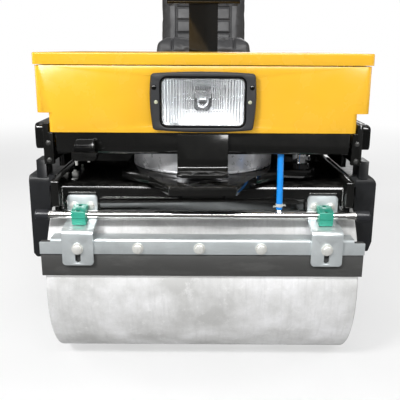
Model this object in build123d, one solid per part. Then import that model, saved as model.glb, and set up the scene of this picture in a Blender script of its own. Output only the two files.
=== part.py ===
"""Small ride-on tandem road roller: two smooth steel drums, the front one in a yoke that
steers on a slewing ring under the frame.  Millimetres, +Z up, the machine faces -Y and its
origin is on the ground midway between the drums."""
from build123d import *
import math
import os

# ---- driving dimensions ------------------------------------------------------------------
WHEELBASE = 1240
DRUM_R = 213
DRUM_WIDTH = 700
DRUM_WALL = 12
FRONT_Y = -WHEELBASE / 2
REAR_Y = WHEELBASE / 2
AXLE_R = 25
FIT = 0.05                  # radial gap of a running fit

FRAME_HALF = 360            # inner face of the side plates
PLATE = 18
SHEET = 8                   # deck, members and footwell
DECK_LOW, DECK_TOP = 525, 533
RAIL_LOW, RAIL_TOP = 523, 582
FRAME_FRONT = FRONT_Y - 197
FRAME_REAR = REAR_Y + 200
MEMBER_TOP = 573
MEMBER_HALF = 312
FOOT_FRONT, FOOT_REAR = -176, 176
FOOT_LOW, FOOT_TOP = 330, 430
FOOT_WALL_FRONT = FOOT_FRONT - 38
FOOT_WALL_REAR = FOOT_REAR + 38

ARM_INNER, ARM_FACE, ARM_OUTER = 354, 386, 400     # bearing plate, and the shoulder over it
ARM_TOP = 463
ARM_HALF_DEPTH = 120
ARM_KNEE = 268
ARM_END_R = 74
BEAM_LOW, BEAM_TOP = 388, 448
BEAM_HALF_DEPTH, BEAM_ROOM = 150, 132
BEAM_STEP_Z, BEAM_STEP = 418, 8
CHEEK_IN, CHEEK_OUT = 317, 333
CHEEK_TOP = 464
CHEEK_DEPTH = 185
RING_R, RING_LOW, RING_TOP = 169, 474, DECK_LOW
OCTAGON_LOW = 456

HOOD_HALF = 350
HOOD_WALL = 4
LID_OVERHANG = 3
LID_LOW, LID_TOP = 711, 737
HOOD_FRONT = FRONT_Y - 200
HOOD_REAR = FRONT_Y + 300
SKIRT_LOW = 614
LOWER_HALF = 326
LAMP_Z = 638

# steering cylinder, from the slewing axis: its pin on the frame, and the yoke's lug
CYL_PIN = (210, 250)
LUG_RADIUS, LUG_ANGLE = 244, -18
CYL_Z = 500
EYE_HALF, EYE_BORE, LUG_PIN_R = 11, 15, 6

COVER_FRONT, COVER_REAR = 232, 808
COVER_LOW, COVER_TOP = DECK_TOP + 8, 692
COVER_HALF = 350
COVER_WALL = 4

WHEEL_TILT = 25
WHEEL_AT = (0, FRONT_Y + 470, 1080)


# ---- helpers ------------------------------------------------------------------------------
def block(x, y, z):
    """A box from its (low, high) pair on each axis."""
    pairs = (x, y, z)
    return Pos(*[(a + b) / 2 for a, b in pairs]) * Box(*[b - a for a, b in pairs])


def draw_out(plane, direction, face, span):
    """A flat face laid in a plane and drawn out over a span."""
    low, high = span
    return Pos(*(Vector(*direction) * low)) * extrude(plane * face, amount=high - low, dir=direction)


def closed(points, radius=0):
    """The face inside a closed outline, corners rounded by one radius or a list of them."""
    rounded = FilletPolyline(*points, radius=radius, close=True) if radius else None
    return make_face(rounded or Polyline(*points, close=True))


def along_x(face, span):
    """A face of (y, z) drawn out along X."""
    return draw_out(Plane.YZ, (1, 0, 0), face, span)


def along_y(face, span):
    """A face of (x, z) drawn out along Y."""
    return draw_out(Plane.XZ, (0, 1, 0), face, span)


def along_z(face, span):
    """A face of (x, y) drawn out along Z."""
    return draw_out(Plane.XY, (0, 0, 1), face, span)


def bent_x(points, thickness, bend, span):
    """Bent sheet: the mid-line through its (y, z) points, given a thickness and drawn along X."""
    return along_x(trace(FilletPolyline(*points, radius=bend), line_width=thickness), span)


def rod_x(span, y, z, radius):
    return Pos((span[0] + span[1]) / 2, y, z) * Rot(0, 90, 0) * Cylinder(radius, span[1] - span[0])


def rod_y(x, span, z, radius):
    return Pos(x, (span[0] + span[1]) / 2, z) * Rot(90, 0, 0) * Cylinder(radius, span[1] - span[0])


def rod_z(x, y, span, radius):
    return Pos(x, y, (span[0] + span[1]) / 2) * Cylinder(radius, span[1] - span[0])


def left_of(shape):
    """The mirror image across the centre plane of a shape drawn on the right."""
    return mirror(shape, about=Plane.YZ)


def both_sides(shape):
    return shape + left_of(shape)


def pair(shape):
    """Two like pieces that don't touch, left and right, as one node."""
    return Compound([left_of(shape), shape])


def round_top(shape, outer, top, radius):
    """Rounds the long outer top edge of a shape drawn on the right."""
    envelope = block((0, outer), (-1200, 1200), (-10, top))
    edge = envelope.edges().filter_by(Axis.Y).group_by(Axis.Z)[-1].sort_by(Axis.X)[-1]
    return shape & fillet(edge, radius)


# ---- drums --------------------------------------------------------------------------------
HEAD_X = DRUM_WIDTH / 2 - 55     # outer face of the recessed heads
HEAD_THICK = 12
BUFFER_R, BUFFER_CIRCLE, BUFFER_COUNT = 24, 118, 6
CARRIER_X = HEAD_X + 34          # inner face of the plate that the rubber buffers carry
CARRIER_R, CARRIER_THICK = 155, 8
HUB_R = 58


def drum(axle_y):
    """Rolled shell with two recessed heads; rubber buffers join each head to a carrier plate
    on the hub, and a through shaft reaches into the arms."""
    half = DRUM_WIDTH / 2
    shell = rod_x((-half, half), 0, 0, DRUM_R)
    shell = fillet(shell.edges().filter_by(GeomType.CIRCLE), 4)
    shell -= rod_x((-half, half), 0, 0, DRUM_R - DRUM_WALL)
    end = rod_x((HEAD_X - HEAD_THICK, HEAD_X), 0, 0, DRUM_R - DRUM_WALL + 1)
    end -= rod_x((HEAD_X - HEAD_THICK, HEAD_X), 0, 0, HUB_R + 20)
    end += rod_x((CARRIER_X, CARRIER_X + CARRIER_THICK), 0, 0, CARRIER_R)
    end += rod_x((HEAD_X - HEAD_THICK, CARRIER_X + CARRIER_THICK + 9), 0, 0, HUB_R)
    for place in range(BUFFER_COUNT):
        angle = math.radians((place + 0.5) * 360 / BUFFER_COUNT)
        y, z = BUFFER_CIRCLE * math.cos(angle), BUFFER_CIRCLE * math.sin(angle)
        end += rod_x((HEAD_X, CARRIER_X), y, z, BUFFER_R)
    shaft = rod_x((-ARM_FACE + 12, ARM_FACE - 12), 0, 0, AXLE_R)
    return Pos(0, axle_y, DRUM_R) * (shell + both_sides(end) + shaft)


# ---- yokes --------------------------------------------------------------------------------
LEFT_EDGE, RIGHT_EDGE = 4, 20    # rounding of the arms' outer top edges
LEFT_SHOULDER, RIGHT_SHOULDER = (262, 12), (280, 26)    # bottom of a shoulder, height of its cut corner
SHOULDER_CUT = 8
CAP_R, CAP_GROOVE = 52, 12
CAP_POCKET, CAP_THICK = 9, 3


def arm_face(top):
    """Side view of an arm: a straight shoulder, narrowed to a round end about the drum's hub."""
    d = ARM_HALF_DEPTH
    shoulder = FilletPolyline((-d, ARM_KNEE), (-d, top), (d, top), (d, ARM_KNEE), radius=16, close=True)
    hub = Pos(0, DRUM_R) * Circle(ARM_END_R)
    return make_hull(shoulder.edges() + hub.edges())


def bearing(shape, inner, outer):
    """Bores a shape for the drum's shaft from inside and sets the bearing cap in a pocket."""
    shape -= rod_x((inner, outer - 11), 0, DRUM_R, AXLE_R + FIT)
    floor = outer - CAP_POCKET
    pocket = rod_x((floor, outer), 0, DRUM_R, CAP_R + CAP_GROOVE)
    return shape - (pocket - rod_x((floor, floor + CAP_THICK), 0, DRUM_R, CAP_R))


def arm(edge, shoulder):
    """Right arm of the front yoke: a plate with the bearing, a boxed shoulder over it whose lower
    outer corner is cut off, and a steering stop on top."""
    low, cut = shoulder
    d = ARM_HALF_DEPTH
    plate = along_x(arm_face(ARM_TOP), (ARM_INNER, ARM_FACE))
    side = closed([(-d, low), (-d, ARM_TOP), (d, ARM_TOP), (d, low)], [8, 16, 16, 8])
    front = closed([(ARM_INNER, low), (ARM_OUTER - SHOULDER_CUT, low), (ARM_OUTER, low + cut),
                    (ARM_OUTER, ARM_TOP), (ARM_INNER, ARM_TOP)])
    casing = plate + (along_x(side, (ARM_INNER, ARM_OUTER)) & along_y(front, (-d, d)))
    casing = bearing(round_top(casing, ARM_OUTER, ARM_TOP, edge), ARM_INNER, ARM_FACE)
    stop = block((ARM_INNER + 4, ARM_INNER + 26), (-ARM_HALF_DEPTH, -65), (ARM_TOP - 6, 498))
    return casing + stop


def saddle(reach):
    """Bridge over a drum: a channel stepped in below its upper flange, pads for the scraper
    brackets, two taller cheek plates, and webs out to the arms."""
    depth, span = BEAM_HALF_DEPTH, (-CHEEK_IN, CHEEK_IN)
    bridge = block(span, (-depth, depth), (BEAM_LOW, BEAM_TOP))
    bridge = fillet(bridge.edges().filter_by(Axis.X).group_by(Axis.Z)[-1], 12)
    bridge -= block(span, (-BEAM_ROOM, BEAM_ROOM), (BEAM_LOW - 1, BEAM_TOP - 12))
    step = block(span, (-depth, BEAM_STEP - depth), (BEAM_LOW, BEAM_STEP_Z))
    step -= both_sides(block((CLAMP_X - 38, CLAMP_X + 38), (-depth, 0), (BEAM_LOW, BEAM_STEP_Z)))
    bridge -= step + Rot(0, 0, 180) * step
    outer, inner = CHEEK_DEPTH, 158
    outline = [(-outer, CHEEK_TOP), (outer, CHEEK_TOP), (outer, 404), (inner, 404), (inner, 352),
               (-inner, 352), (-inner, 404), (-outer, 404)]
    cheek = along_x(closed(outline, 5), (CHEEK_IN, CHEEK_OUT))
    cheek += block((CHEEK_OUT, reach), (-ARM_HALF_DEPTH, ARM_HALF_DEPTH), (438, CHEEK_TOP - 1))
    drum_room = rod_x((CHEEK_IN, reach), 0, DRUM_R, DRUM_R + 10)
    return bridge + both_sides(cheek - drum_room)


NOSE_Y = -283
LOCK_Y, LOCK_R = -242, 12
RIB_X = 46


def octagon_plate():
    """Top plate of the front yoke on its pad: wide at the ring, narrowed to a nose with the lock
    hole, ribbed below where it overhangs the beam."""
    points = [(-67, NOSE_Y), (67, NOSE_Y), (118, -173), (185, -120), (185, 120), (118, 195),
              (-118, 195), (-185, 120), (-185, -120), (-118, -173)]
    plate = along_z(closed(points, 12), (OCTAGON_LOW, RING_LOW))
    plate -= rod_z(0, LOCK_Y, (OCTAGON_LOW, RING_LOW), LOCK_R)
    edge = -BEAM_HALF_DEPTH
    rib = along_x(closed([(edge, 412), (edge - 62, OCTAGON_LOW), (edge, OCTAGON_LOW)]), (RIB_X, RIB_X + 8))
    pad = block((-150, 150), (-120, 120), (BEAM_TOP - 1, OCTAGON_LOW))
    return plate + pad + both_sides(rib)


def lug_point():
    """The steering lug's centre from the slewing axis."""
    angle = math.radians(LUG_ANGLE)
    return LUG_RADIUS * math.cos(angle), LUG_RADIUS * math.sin(angle)


def steering_lug():
    """Ear of the yoke's top plate with a raised seat and a headed pin for the rod's eye."""
    x, y = lug_point()
    ear = rod_z(x, y, (OCTAGON_LOW, RING_LOW), 32)
    ear += block((150, x), (y - 32, y + 32), (OCTAGON_LOW, RING_LOW))
    ear += rod_z(x, y, (RING_LOW, CYL_Z - EYE_HALF - 1), 20)
    pin_top = CYL_Z + EYE_HALF
    return ear + rod_z(x, y, (RING_LOW, pin_top + 2), LUG_PIN_R) + rod_z(x, y, (pin_top + 2, pin_top + 8), 12)


def front_yoke():
    fork = left_of(arm(LEFT_EDGE, LEFT_SHOULDER)) + arm(RIGHT_EDGE, RIGHT_SHOULDER) + saddle(ARM_INNER)
    return Pos(0, FRONT_Y, 0) * (fork + octagon_plate() + steering_lug())


def slewing_ring_outer():
    """Fixed race, bolted under the deck, with a seal groove round it."""
    ring = rod_z(0, FRONT_Y, (RING_LOW + 1, RING_TOP), RING_R)
    ring = chamfer(ring.edges().filter_by(GeomType.CIRCLE), 1.5)
    groove = rod_z(0, FRONT_Y, (RING_LOW + 6, RING_LOW + 8), RING_R)
    ring -= groove - rod_z(0, FRONT_Y, (RING_LOW + 6, RING_LOW + 8), RING_R - 2)
    return ring - rod_z(0, FRONT_Y, (RING_LOW, RING_TOP), RING_R - 32)


def slewing_ring_inner():
    """Turning race, bolted on the yoke's top plate."""
    ring = rod_z(0, FRONT_Y, (RING_LOW, RING_TOP - 6), RING_R - 34)
    return ring - rod_z(0, FRONT_Y, (RING_LOW, RING_TOP), 100)


# ---- sprinkler and scraper, drawn for the front; the rear is the same turned about ---------
PIPE_Y, PIPE_Z, PIPE_R = -183, 387, 9
PIPE_HALF = 355
CLAMP_X, CLAMP_HALF = 272, 15
SHELF_TILT = 10
SHELF_BACK, SHELF_FRONT = 372, 363
SCRAPER_Y = -222
CHANNEL_HALF = 356
CHANNEL_LOW, CHANNEL_TOP = 308, 343
CHANNEL_THICK = 4
NOTCH = 24
BRACKET_HALF = 34
BRACKET_THICK = 6
BOLT_Z = 322
SLOT_LOW = 296
HOSE_X, HOSE_R = 170, 7
NIPPLE_TOP = 412


def at_axle(shape, axle_y):
    """Places a shape drawn with its drum axis at Y = 0; at the rear it is turned about."""
    turned = shape if axle_y < 0 else Rot(0, 0, 180) * shape
    return Pos(0, axle_y, 0) * turned


def sprinkler_pipe(axle_y):
    """Spray pipe with its hose nipple: a hexagon, a stem and two barbs."""
    pipe = rod_x((-PIPE_HALF, PIPE_HALF), PIPE_Y, PIPE_Z, PIPE_R)
    hexagon = along_z(Pos(HOSE_X, PIPE_Y) * RegularPolygon(7, 6), (PIPE_Z + 4, HOSE_ROUTE[0][1]))
    stem = rod_z(HOSE_X, PIPE_Y, (PIPE_Z + 4, NIPPLE_TOP + 8), 4)
    pipe += hexagon + stem
    return at_axle(pipe - rod_x((-PIPE_HALF, PIPE_HALF), PIPE_Y, PIPE_Z, PIPE_R - 1.5), axle_y)


def pipe_caps(axle_y):
    """Rubber caps pushed over the spray pipe's ends."""
    cap = rod_x((PIPE_HALF - 14, PIPE_HALF + 16), PIPE_Y, PIPE_Z, PIPE_R + 2.6)
    cap = fillet(cap.edges().group_by(Axis.X)[-1], 3)
    cap -= rod_x((PIPE_HALF - 14, PIPE_HALF), PIPE_Y, PIPE_Z, PIPE_R)
    return at_axle(pair(cap), axle_y)


def pipe_clamps(axle_y):
    """Moulded two-part pipe clamps with recesses for two bolts, tilted as the shelf is."""
    half = (21, 17)
    body = block((-CLAMP_HALF, CLAMP_HALF), (-half[0], half[0]), (-16.5, half[1]))
    body = fillet(body.edges().filter_by(Axis.X), 3)
    for y in (-14, 14):
        body -= rod_z(0, y, (10, half[1]), 5)
    body -= block((-CLAMP_HALF, CLAMP_HALF), (-half[0], half[0]), (-0.6, 0.6))
    body += block((4 - CLAMP_HALF, CLAMP_HALF - 4), (-half[0] + 2, half[0] - 2), (-1, 1))
    body = Pos(CLAMP_X, PIPE_Y, PIPE_Z) * Rot(SHELF_TILT, 0, 0) * body
    return at_axle(pair(body - rod_x((0, 400), PIPE_Y, PIPE_Z, PIPE_R)), axle_y)


def scraper_brackets(axle_y):
    """Bent flats: a leg on the beam, a sloping shelf under the clamp, and a leg down the front
    of the channel with a slot for its bolt."""
    t = BRACKET_THICK / 2
    wall, front = -BEAM_HALF_DEPTH - t, SCRAPER_Y - t
    strip = bent_x([(wall, 425), (wall, SHELF_BACK - t), (front, SHELF_FRONT - t), (front, 284)],
                   BRACKET_THICK, 8, (-BRACKET_HALF, BRACKET_HALF))
    leg_corners = closed([(-BRACKET_HALF, 284), (BRACKET_HALF, 284), (BRACKET_HALF, 425),
                          (-BRACKET_HALF, 425)], 8)
    strip &= along_y(leg_corners, (-300, -100))
    slot = Pos(0, (SLOT_LOW + BOLT_Z) / 2) * Rot(0, 0, 90) * SlotOverall(BOLT_Z - SLOT_LOW + 12, 12)
    strip -= along_y(slot, (front - t, front + t))
    return at_axle(pair(Pos(CLAMP_X, 0, 0) * strip), axle_y)


def scraper_channel(axle_y):
    """Pressed angle across the drum: a front web and a top flange cut back at its ends."""
    t = CHANNEL_THICK / 2
    angle = bent_x([(SCRAPER_Y + t, CHANNEL_LOW), (SCRAPER_Y + t, CHANNEL_TOP - t), (-182, CHANNEL_TOP - t)],
                   CHANNEL_THICK, 5, (-CHANNEL_HALF, CHANNEL_HALF))
    notch = block((CHANNEL_HALF - NOTCH, CHANNEL_HALF), (SCRAPER_Y, -180), (CHANNEL_TOP - 8, CHANNEL_TOP))
    return at_axle(angle - both_sides(notch), axle_y)


def scraper_blade(axle_y):
    """Rubber wiping strip from behind the channel down to the drum's skin."""
    back = SCRAPER_Y + CHANNEL_THICK
    profile = [(back, 336), (back, 306), (-219, 304), (-218, 256), (-209, 256), (-208, 300), (back + 10, 336)]
    return at_axle(along_x(closed(profile), (-355, 355)), axle_y)


# ---- frame --------------------------------------------------------------------------------
def side_plate(edge):
    """Right side plate: a rail from the front yoke back, dropped between the drums where the
    operator steps in, and carried down round the rear drum's hub."""
    front = FRONT_Y - ARM_HALF_DEPTH
    outline = [(front, RAIL_TOP), (front, RAIL_LOW), (FOOT_FRONT - 110, RAIL_LOW),
               (FOOT_FRONT - 40, FOOT_LOW), (FOOT_REAR + 40, FOOT_LOW), (FOOT_REAR + 110, 460),
               (REAR_Y, 460), (REAR_Y + 90, RAIL_LOW), (FRAME_REAR, RAIL_LOW), (FRAME_REAR, RAIL_TOP),
               (FOOT_REAR + 40, RAIL_TOP), (FOOT_REAR, FOOT_TOP), (FOOT_FRONT, FOOT_TOP),
               (FOOT_FRONT - 40, RAIL_TOP)]
    thick = (FRAME_HALF, FRAME_HALF + PLATE)
    plate = along_x(closed(outline, 14), thick)
    plate += Pos(0, REAR_Y, 0) * along_x(arm_face(RAIL_TOP - 30), thick)
    plate = round_top(plate, FRAME_HALF + PLATE, RAIL_TOP, edge)
    boss = bearing(rod_x((FRAME_HALF, ARM_FACE), 0, DRUM_R, CAP_R + CAP_GROOVE + 6), FRAME_HALF, ARM_FACE)
    plate -= rod_x((FRAME_HALF, ARM_FACE), REAR_Y, DRUM_R, CAP_R)
    return plate + Pos(0, REAR_Y, 0) * boss


HOSE_SLOT = ((112, 228), (-189, -84))     # room in the deck for the hose to swing


def front_deck():
    """Slewing deck under the side plates, turned up at the front as the front member."""
    t = SHEET / 2
    front = FRAME_FRONT + t
    member = bent_x([(front, MEMBER_TOP), (front, DECK_LOW + t), (FRONT_Y, DECK_LOW + t)], SHEET, 9,
                    (-MEMBER_HALF, MEMBER_HALF))
    level = (DECK_LOW, DECK_TOP)
    deck = block((-BRACKET_IN, BRACKET_IN), (FRONT_Y - 120, FRONT_Y - 60), level)
    deck += block((-FRAME_HALF, FRAME_HALF), (FRONT_Y - 60, FOOT_WALL_FRONT), level)
    (x0, x1), (y0, y1) = HOSE_SLOT
    slot = block((x0, x1), (FRONT_Y + y0, FRONT_Y + y1), (DECK_LOW, DECK_TOP + SHEET))
    slot = fillet(slot.edges().filter_by(Axis.Z), 12)
    opening = rod_z(0, FRONT_Y, level, 70)
    stiffener = block((331, 343), (FRONT_Y - 56, FRONT_Y + 100), (472, DECK_LOW))
    return member + deck + both_sides(stiffener) - slot - opening


def footwell():
    """Trough between the drums: a bent sheet with a floor and two walls."""
    t = SHEET / 2
    front, rear, floor = FOOT_WALL_FRONT + t, FOOT_WALL_REAR - t, FOOT_LOW + t
    return bent_x([(front, DECK_TOP), (front, floor), (rear, floor), (rear, DECK_TOP)], SHEET, 18,
                  (-FRAME_HALF, FRAME_HALF))


ENGINE_HALF, ENGINE_FRONT, ENGINE_REAR = 200, 248, 460
ENGINE_LOW, ENGINE_TOP = 405, 676
ENGINE_GAP = 10
EXHAUST_X, EXHAUST_Z = -275, 610
TAIL_Y, TAIL_R = 425, 16


def rear_deck():
    """Rear deck open over the engine's sump, turned up at the back, with its saddle over the
    rear drum on a box pedestal."""
    t = SHEET / 2
    rear = FRAME_REAR - t
    deck = bent_x([(FOOT_WALL_REAR, DECK_LOW + t), (rear, DECK_LOW + t), (rear, MEMBER_TOP)], SHEET, 9,
                  (-FRAME_HALF, FRAME_HALF))
    gap = ENGINE_GAP
    deck -= block((-ENGINE_HALF - gap, ENGINE_HALF + gap), (ENGINE_FRONT - gap, ENGINE_REAR + gap),
                  (DECK_LOW, DECK_TOP))
    deck -= rod_z(EXHAUST_X, TAIL_Y, (DECK_LOW, DECK_TOP), TAIL_R + 6)
    pedestal = block((-150, 150), (-120, 120), (BEAM_TOP - 2, DECK_LOW + 1))
    pedestal -= block((-138, 138), (-108, 108), (BEAM_TOP - 2, DECK_LOW + 1))
    deck += knuckles(COVER_HINGE, (-312, 252), (-HINGE_R - 1, -16))
    return deck + Pos(0, REAR_Y, 0) * (saddle(FRAME_HALF) + pedestal)


BRACKET_LOW, BRACKET_TOP = 503, 590
BRACKET_IN, BRACKET_OUT = 329, 341


def member_brackets():
    """Angle brackets that join the front member's ends to the side plates."""
    front = FRAME_FRONT + 4
    leg = block((MEMBER_HALF + 8, BRACKET_OUT), (front, front + 12), (BRACKET_LOW, MEMBER_TOP - 2))
    leg += block((BRACKET_IN, BRACKET_OUT), (front, FRONT_Y - 60), (BRACKET_LOW, BRACKET_TOP))
    leg += block((BRACKET_OUT, FRAME_HALF), (FRONT_Y - 118, FRONT_Y - 60), (RAIL_LOW, RAIL_TOP - 6))
    return pair(leg)


def lock_bracket():
    """Bent plate on the front member that carries the steering lock pin's upper hole."""
    y, z, tip = FRAME_FRONT - 4, 491, FRONT_Y - 259
    plate = bent_x([(y, MEMBER_TOP - 3), (y, z), (tip, z)], 8, 12, (-54, 54))
    corners = [(-54, tip + 12), (-42, tip), (42, tip), (54, tip + 12), (54, FRAME_FRONT), (-54, FRAME_FRONT)]
    plate &= along_z(closed(corners), (480, MEMBER_TOP))
    return plate - rod_z(0, FRONT_Y + LOCK_Y, (480, 500), LOCK_R)


def cylinder_bracket():
    """Ears under the deck that hold the steering cylinder's pin."""
    x, y = CYL_PIN
    y += FRONT_Y
    ears = block((x - 30, x + 30), (y - 25, y + 50), (CYL_Z - 22, DECK_LOW))
    ears -= block((x - 30, x + 30), (y - 25, y + 28), (CYL_Z - 12, CYL_Z + 12))
    return ears + rod_z(x, y, (CYL_Z - 22, DECK_LOW), 10)


def hose_bracket():
    """Clamp block on the left of the front member: an upstand, and a shelf with two bolt holes."""
    low, high = DECK_LOW - 9, DECK_LOW + 8
    shelf = block((-275, -224), (FRAME_FRONT - 28, FRAME_FRONT), (low, high))
    shelf = chamfer(shelf.edges().filter_by(Axis.Y).group_by(Axis.Z)[0], 5)
    upstand = block((-271, -228), (FRAME_FRONT - 12, FRAME_FRONT), (high - 1, high + 26))
    upstand = fillet(upstand.edges().filter_by(Axis.Y).group_by(Axis.Z)[-1], 6)
    return shelf + upstand


# ---- steering cylinder --------------------------------------------------------------------
BARREL_END = 218


def cylinder_line():
    """Turn that lays a cylinder drawn along +X from its pin to the lug, and its length."""
    x, y = lug_point()
    px, py = CYL_PIN
    return math.degrees(math.atan2(y - py, x - px)), math.hypot(x - px, y - py)


def lay_cylinder(shape):
    return Pos(CYL_PIN[0], FRONT_Y + CYL_PIN[1], CYL_Z) * Rot(0, 0, cylinder_line()[0]) * shape


def steering_barrel():
    """Barrel with its pin eye, end gland and two oil ports."""
    eye = Cylinder(20, 20) + block((12, 40), (-11, 11), (-10, 10))
    tube = rod_x((34, BARREL_END), 0, 0, 19) + rod_x((BARREL_END - 24, BARREL_END), 0, 0, 20)
    ports = rod_y(52, (0, 25), 0, 7) + rod_y(BARREL_END - 12, (0, 25), 0, 7)
    barrel = eye + tube + ports - Cylinder(10 + FIT, 30)
    return lay_cylinder(barrel - rod_x((44, BARREL_END), 0, 0, 10 + FIT))


def steering_rod():
    length = cylinder_line()[1]
    rod = rod_x((128, length - EYE_BORE - 2), 0, 0, 10)
    eye = Pos(length, 0, 0) * (Cylinder(22, 2 * EYE_HALF) - Cylinder(EYE_BORE, 2 * EYE_HALF))
    return lay_cylinder(rod + eye)


# ---- hood, lamp ---------------------------------------------------------------------------
HINGE_R = 6
LID_HINGE = (HOOD_REAR + HINGE_R + 1, LID_LOW + 2)
COVER_HINGE = (FRAME_REAR + HINGE_R + 1, RAIL_TOP)
KNUCKLE = 60


def knuckles(hinge, places, toward):
    """Hinge knuckles along X at the given places, each with a leaf toward a (y, z) offset."""
    y, z = hinge
    dy, dz = toward
    barrel = rod_x((0, KNUCKLE), y, z, HINGE_R)
    leaf = block((0, KNUCKLE), tuple(sorted((y, y + dy))), tuple(sorted((z, z + dz))))
    one = barrel + leaf
    return sum([Pos(x, 0, 0) * one for x in places[1:]], Pos(places[0], 0, 0) * one)


def rounded_window(half_x, half_z, radius):
    """Rounded rectangle in (x, z) about the headlamp's centre."""
    return Pos(0, LAMP_Z) * RectangleRounded(2 * half_x, 2 * half_z, radius)


LENS_HALF_X, LENS_HALF_Z, LENS_CORNER = 87, 50, 13


def hood_body():
    """Open-topped sheet box over the front of the frame, stepped in below its side skirts,
    with a window for the headlamp and the fixed knuckles of the lid's hinge."""
    half, low = HOOD_HALF, LOWER_HALF
    outer = block((-half, half), (HOOD_FRONT, HOOD_REAR), (SKIRT_LOW, LID_LOW))
    outer += block((-low, low), (HOOD_FRONT, HOOD_REAR), (MEMBER_TOP, SKIRT_LOW + 4))
    outer = fillet(outer.edges().filter_by(Axis.Z), 12)
    w = HOOD_WALL
    inner = block((-half + w, half - w), (HOOD_FRONT + w, HOOD_REAR - w), (SKIRT_LOW + w, LID_LOW))
    inner += block((-low + w, low - w), (HOOD_FRONT + w, HOOD_REAR - w), (MEMBER_TOP, LID_LOW))
    window = along_y(rounded_window(LENS_HALF_X, LENS_HALF_Z, LENS_CORNER), (HOOD_FRONT, HOOD_FRONT + w))
    return outer - inner - window + knuckles(LID_HINGE, (-282, 222), (-HINGE_R - 1, -14))


def hood_lid():
    """Shallow pan lid that overhangs the hood body at the front and sides."""
    half = HOOD_HALF + LID_OVERHANG
    front = HOOD_FRONT - LID_OVERHANG
    lid = block((-half, half), (front, HOOD_REAR), (LID_LOW + 2, LID_TOP))
    lid = fillet(lid.edges().filter_by(Axis.Z), 10)
    lid = fillet(lid.edges().group_by(Axis.Z)[-1], 3)
    w = HOOD_WALL
    lid -= block((-half + w, half - w), (front + w, HOOD_REAR - w), (LID_LOW, LID_TOP - w))
    return lid + knuckles(LID_HINGE, (-220, 160), (-HINGE_R - 1, 14))


def lamp_outline():
    """Headlamp surround: four bowed sides, widest above the middle."""
    top, bottom = LAMP_Z + 58, LAMP_Z - 57
    sides = [ThreePointArc((-107, top), (0, top + 4), (107, top)),
             ThreePointArc((107, top), (110, LAMP_Z + 12), (104, bottom)),
             ThreePointArc((104, bottom), (0, bottom - 5), (-104, bottom)),
             ThreePointArc((-104, bottom), (-110, LAMP_Z + 12), (-107, top))]
    face = make_face(Curve() + sides)
    return fillet(face.vertices(), 7)


LAMP_PROUD = 16


def headlight_bezel():
    """Moulded surround, its front edge broken and its mouth sloping in to the lens."""
    front = HOOD_FRONT - LAMP_PROUD
    body = along_y(lamp_outline(), (front, HOOD_FRONT))
    body = chamfer(body.edges().group_by(Axis.Y)[0], 3)
    return body - along_y(rounded_window(LENS_HALF_X + 3, LENS_HALF_Z + 3, LENS_CORNER + 3), (front, HOOD_FRONT))


def headlight_lens():
    glass = along_y(rounded_window(LENS_HALF_X, LENS_HALF_Z, LENS_CORNER), (HOOD_FRONT - 13, HOOD_FRONT - 8))
    return fillet(glass.edges().group_by(Axis.Y)[0], 2)


def headlight_reflector():
    """Lamp bowl: a moulded block hollowed by a sphere, closed at the back."""
    back, sphere, wall = HOOD_FRONT + 46, 123, 3
    deep = (HOOD_FRONT - 8, back)
    body = along_y(rounded_window(LENS_HALF_X - 1, LENS_HALF_Z - 1, LENS_CORNER), deep)
    room = along_y(rounded_window(LENS_HALF_X - 1 - wall, LENS_HALF_Z - 1 - wall, LENS_CORNER - wall), deep)
    return body - (room & Pos(0, back - wall - sphere, LAMP_Z) * Sphere(sphere))


# ---- operator's place ---------------------------------------------------------------------
CONSOLE_FRONT = HOOD_REAR + 35
CONSOLE_HALF, DASH_HALF = 42, 105
COLUMN_R = 16


def on_column(shape):
    """Places a shape drawn along Z with the steering wheel's centre at the origin."""
    return Pos(*WHEEL_AT) * Rot(-WHEEL_TILT, 0, 0) * shape


def dash_head():
    """Dash on the pedestal, its panel sloping toward the operator."""
    y = CONSOLE_FRONT
    outline = [(y - 4, 872), (y + 100, 872), (y + 118, 892), (y + 30, 948), (y - 4, 926)]
    return along_x(closed(outline, 6), (-DASH_HALF, DASH_HALF))


def console():
    """Steering pedestal: a narrow leaning sheet box with the wider dash head on top."""
    y = CONSOLE_FRONT
    outline = [(y, DECK_TOP), (y + 66, DECK_TOP), (y + 92, 880), (y + 8, 880)]
    post = along_x(closed(outline, 6), (-CONSOLE_HALF, CONSOLE_HALF))
    return post + dash_head() - on_column(Pos(0, 0, -150) * Cylinder(COLUMN_R + FIT, 100))


def steering_column():
    """Column tube from the dash up to the wheel's hub, with a collar on the dash."""
    tube = Pos(0, 0, -106) * Cylinder(COLUMN_R, 188)
    return on_column(tube + Pos(0, 0, -128) * Cylinder(COLUMN_R + 10, 12))


def travel_lever():
    """Forward and reverse lever in the dash's right side, with a ball knob."""
    lever = Cylinder(5, 110) + Pos(0, 0, 66) * Sphere(18) + Pos(0, 0, -34) * Cylinder(13, 16)
    return Pos(DASH_HALF - 25, CONSOLE_FRONT + 74, 960) * Rot(-12, 0, 0) * lever - dash_head()


def steering_wheel():
    """Rim, three flat spokes and a hub bored for the column."""
    rim = Torus(175, 11)
    spokes = Cylinder(34, 26)
    for turn in (90, 210, 330):
        spokes += Rot(0, 0, turn) * block((20, 170), (-12, 12), (-4, 4))
    return on_column(rim + spokes - Pos(0, 0, -13) * Cylinder(COLUMN_R + FIT, 26))


LOUVRES, LOUVRE_PITCH = 8, 26
LOUVRE_WIDTH, LOUVRE_HIGH = 11, 56
LOUVRE_Y, LOUVRE_Z = 400, 636


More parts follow.
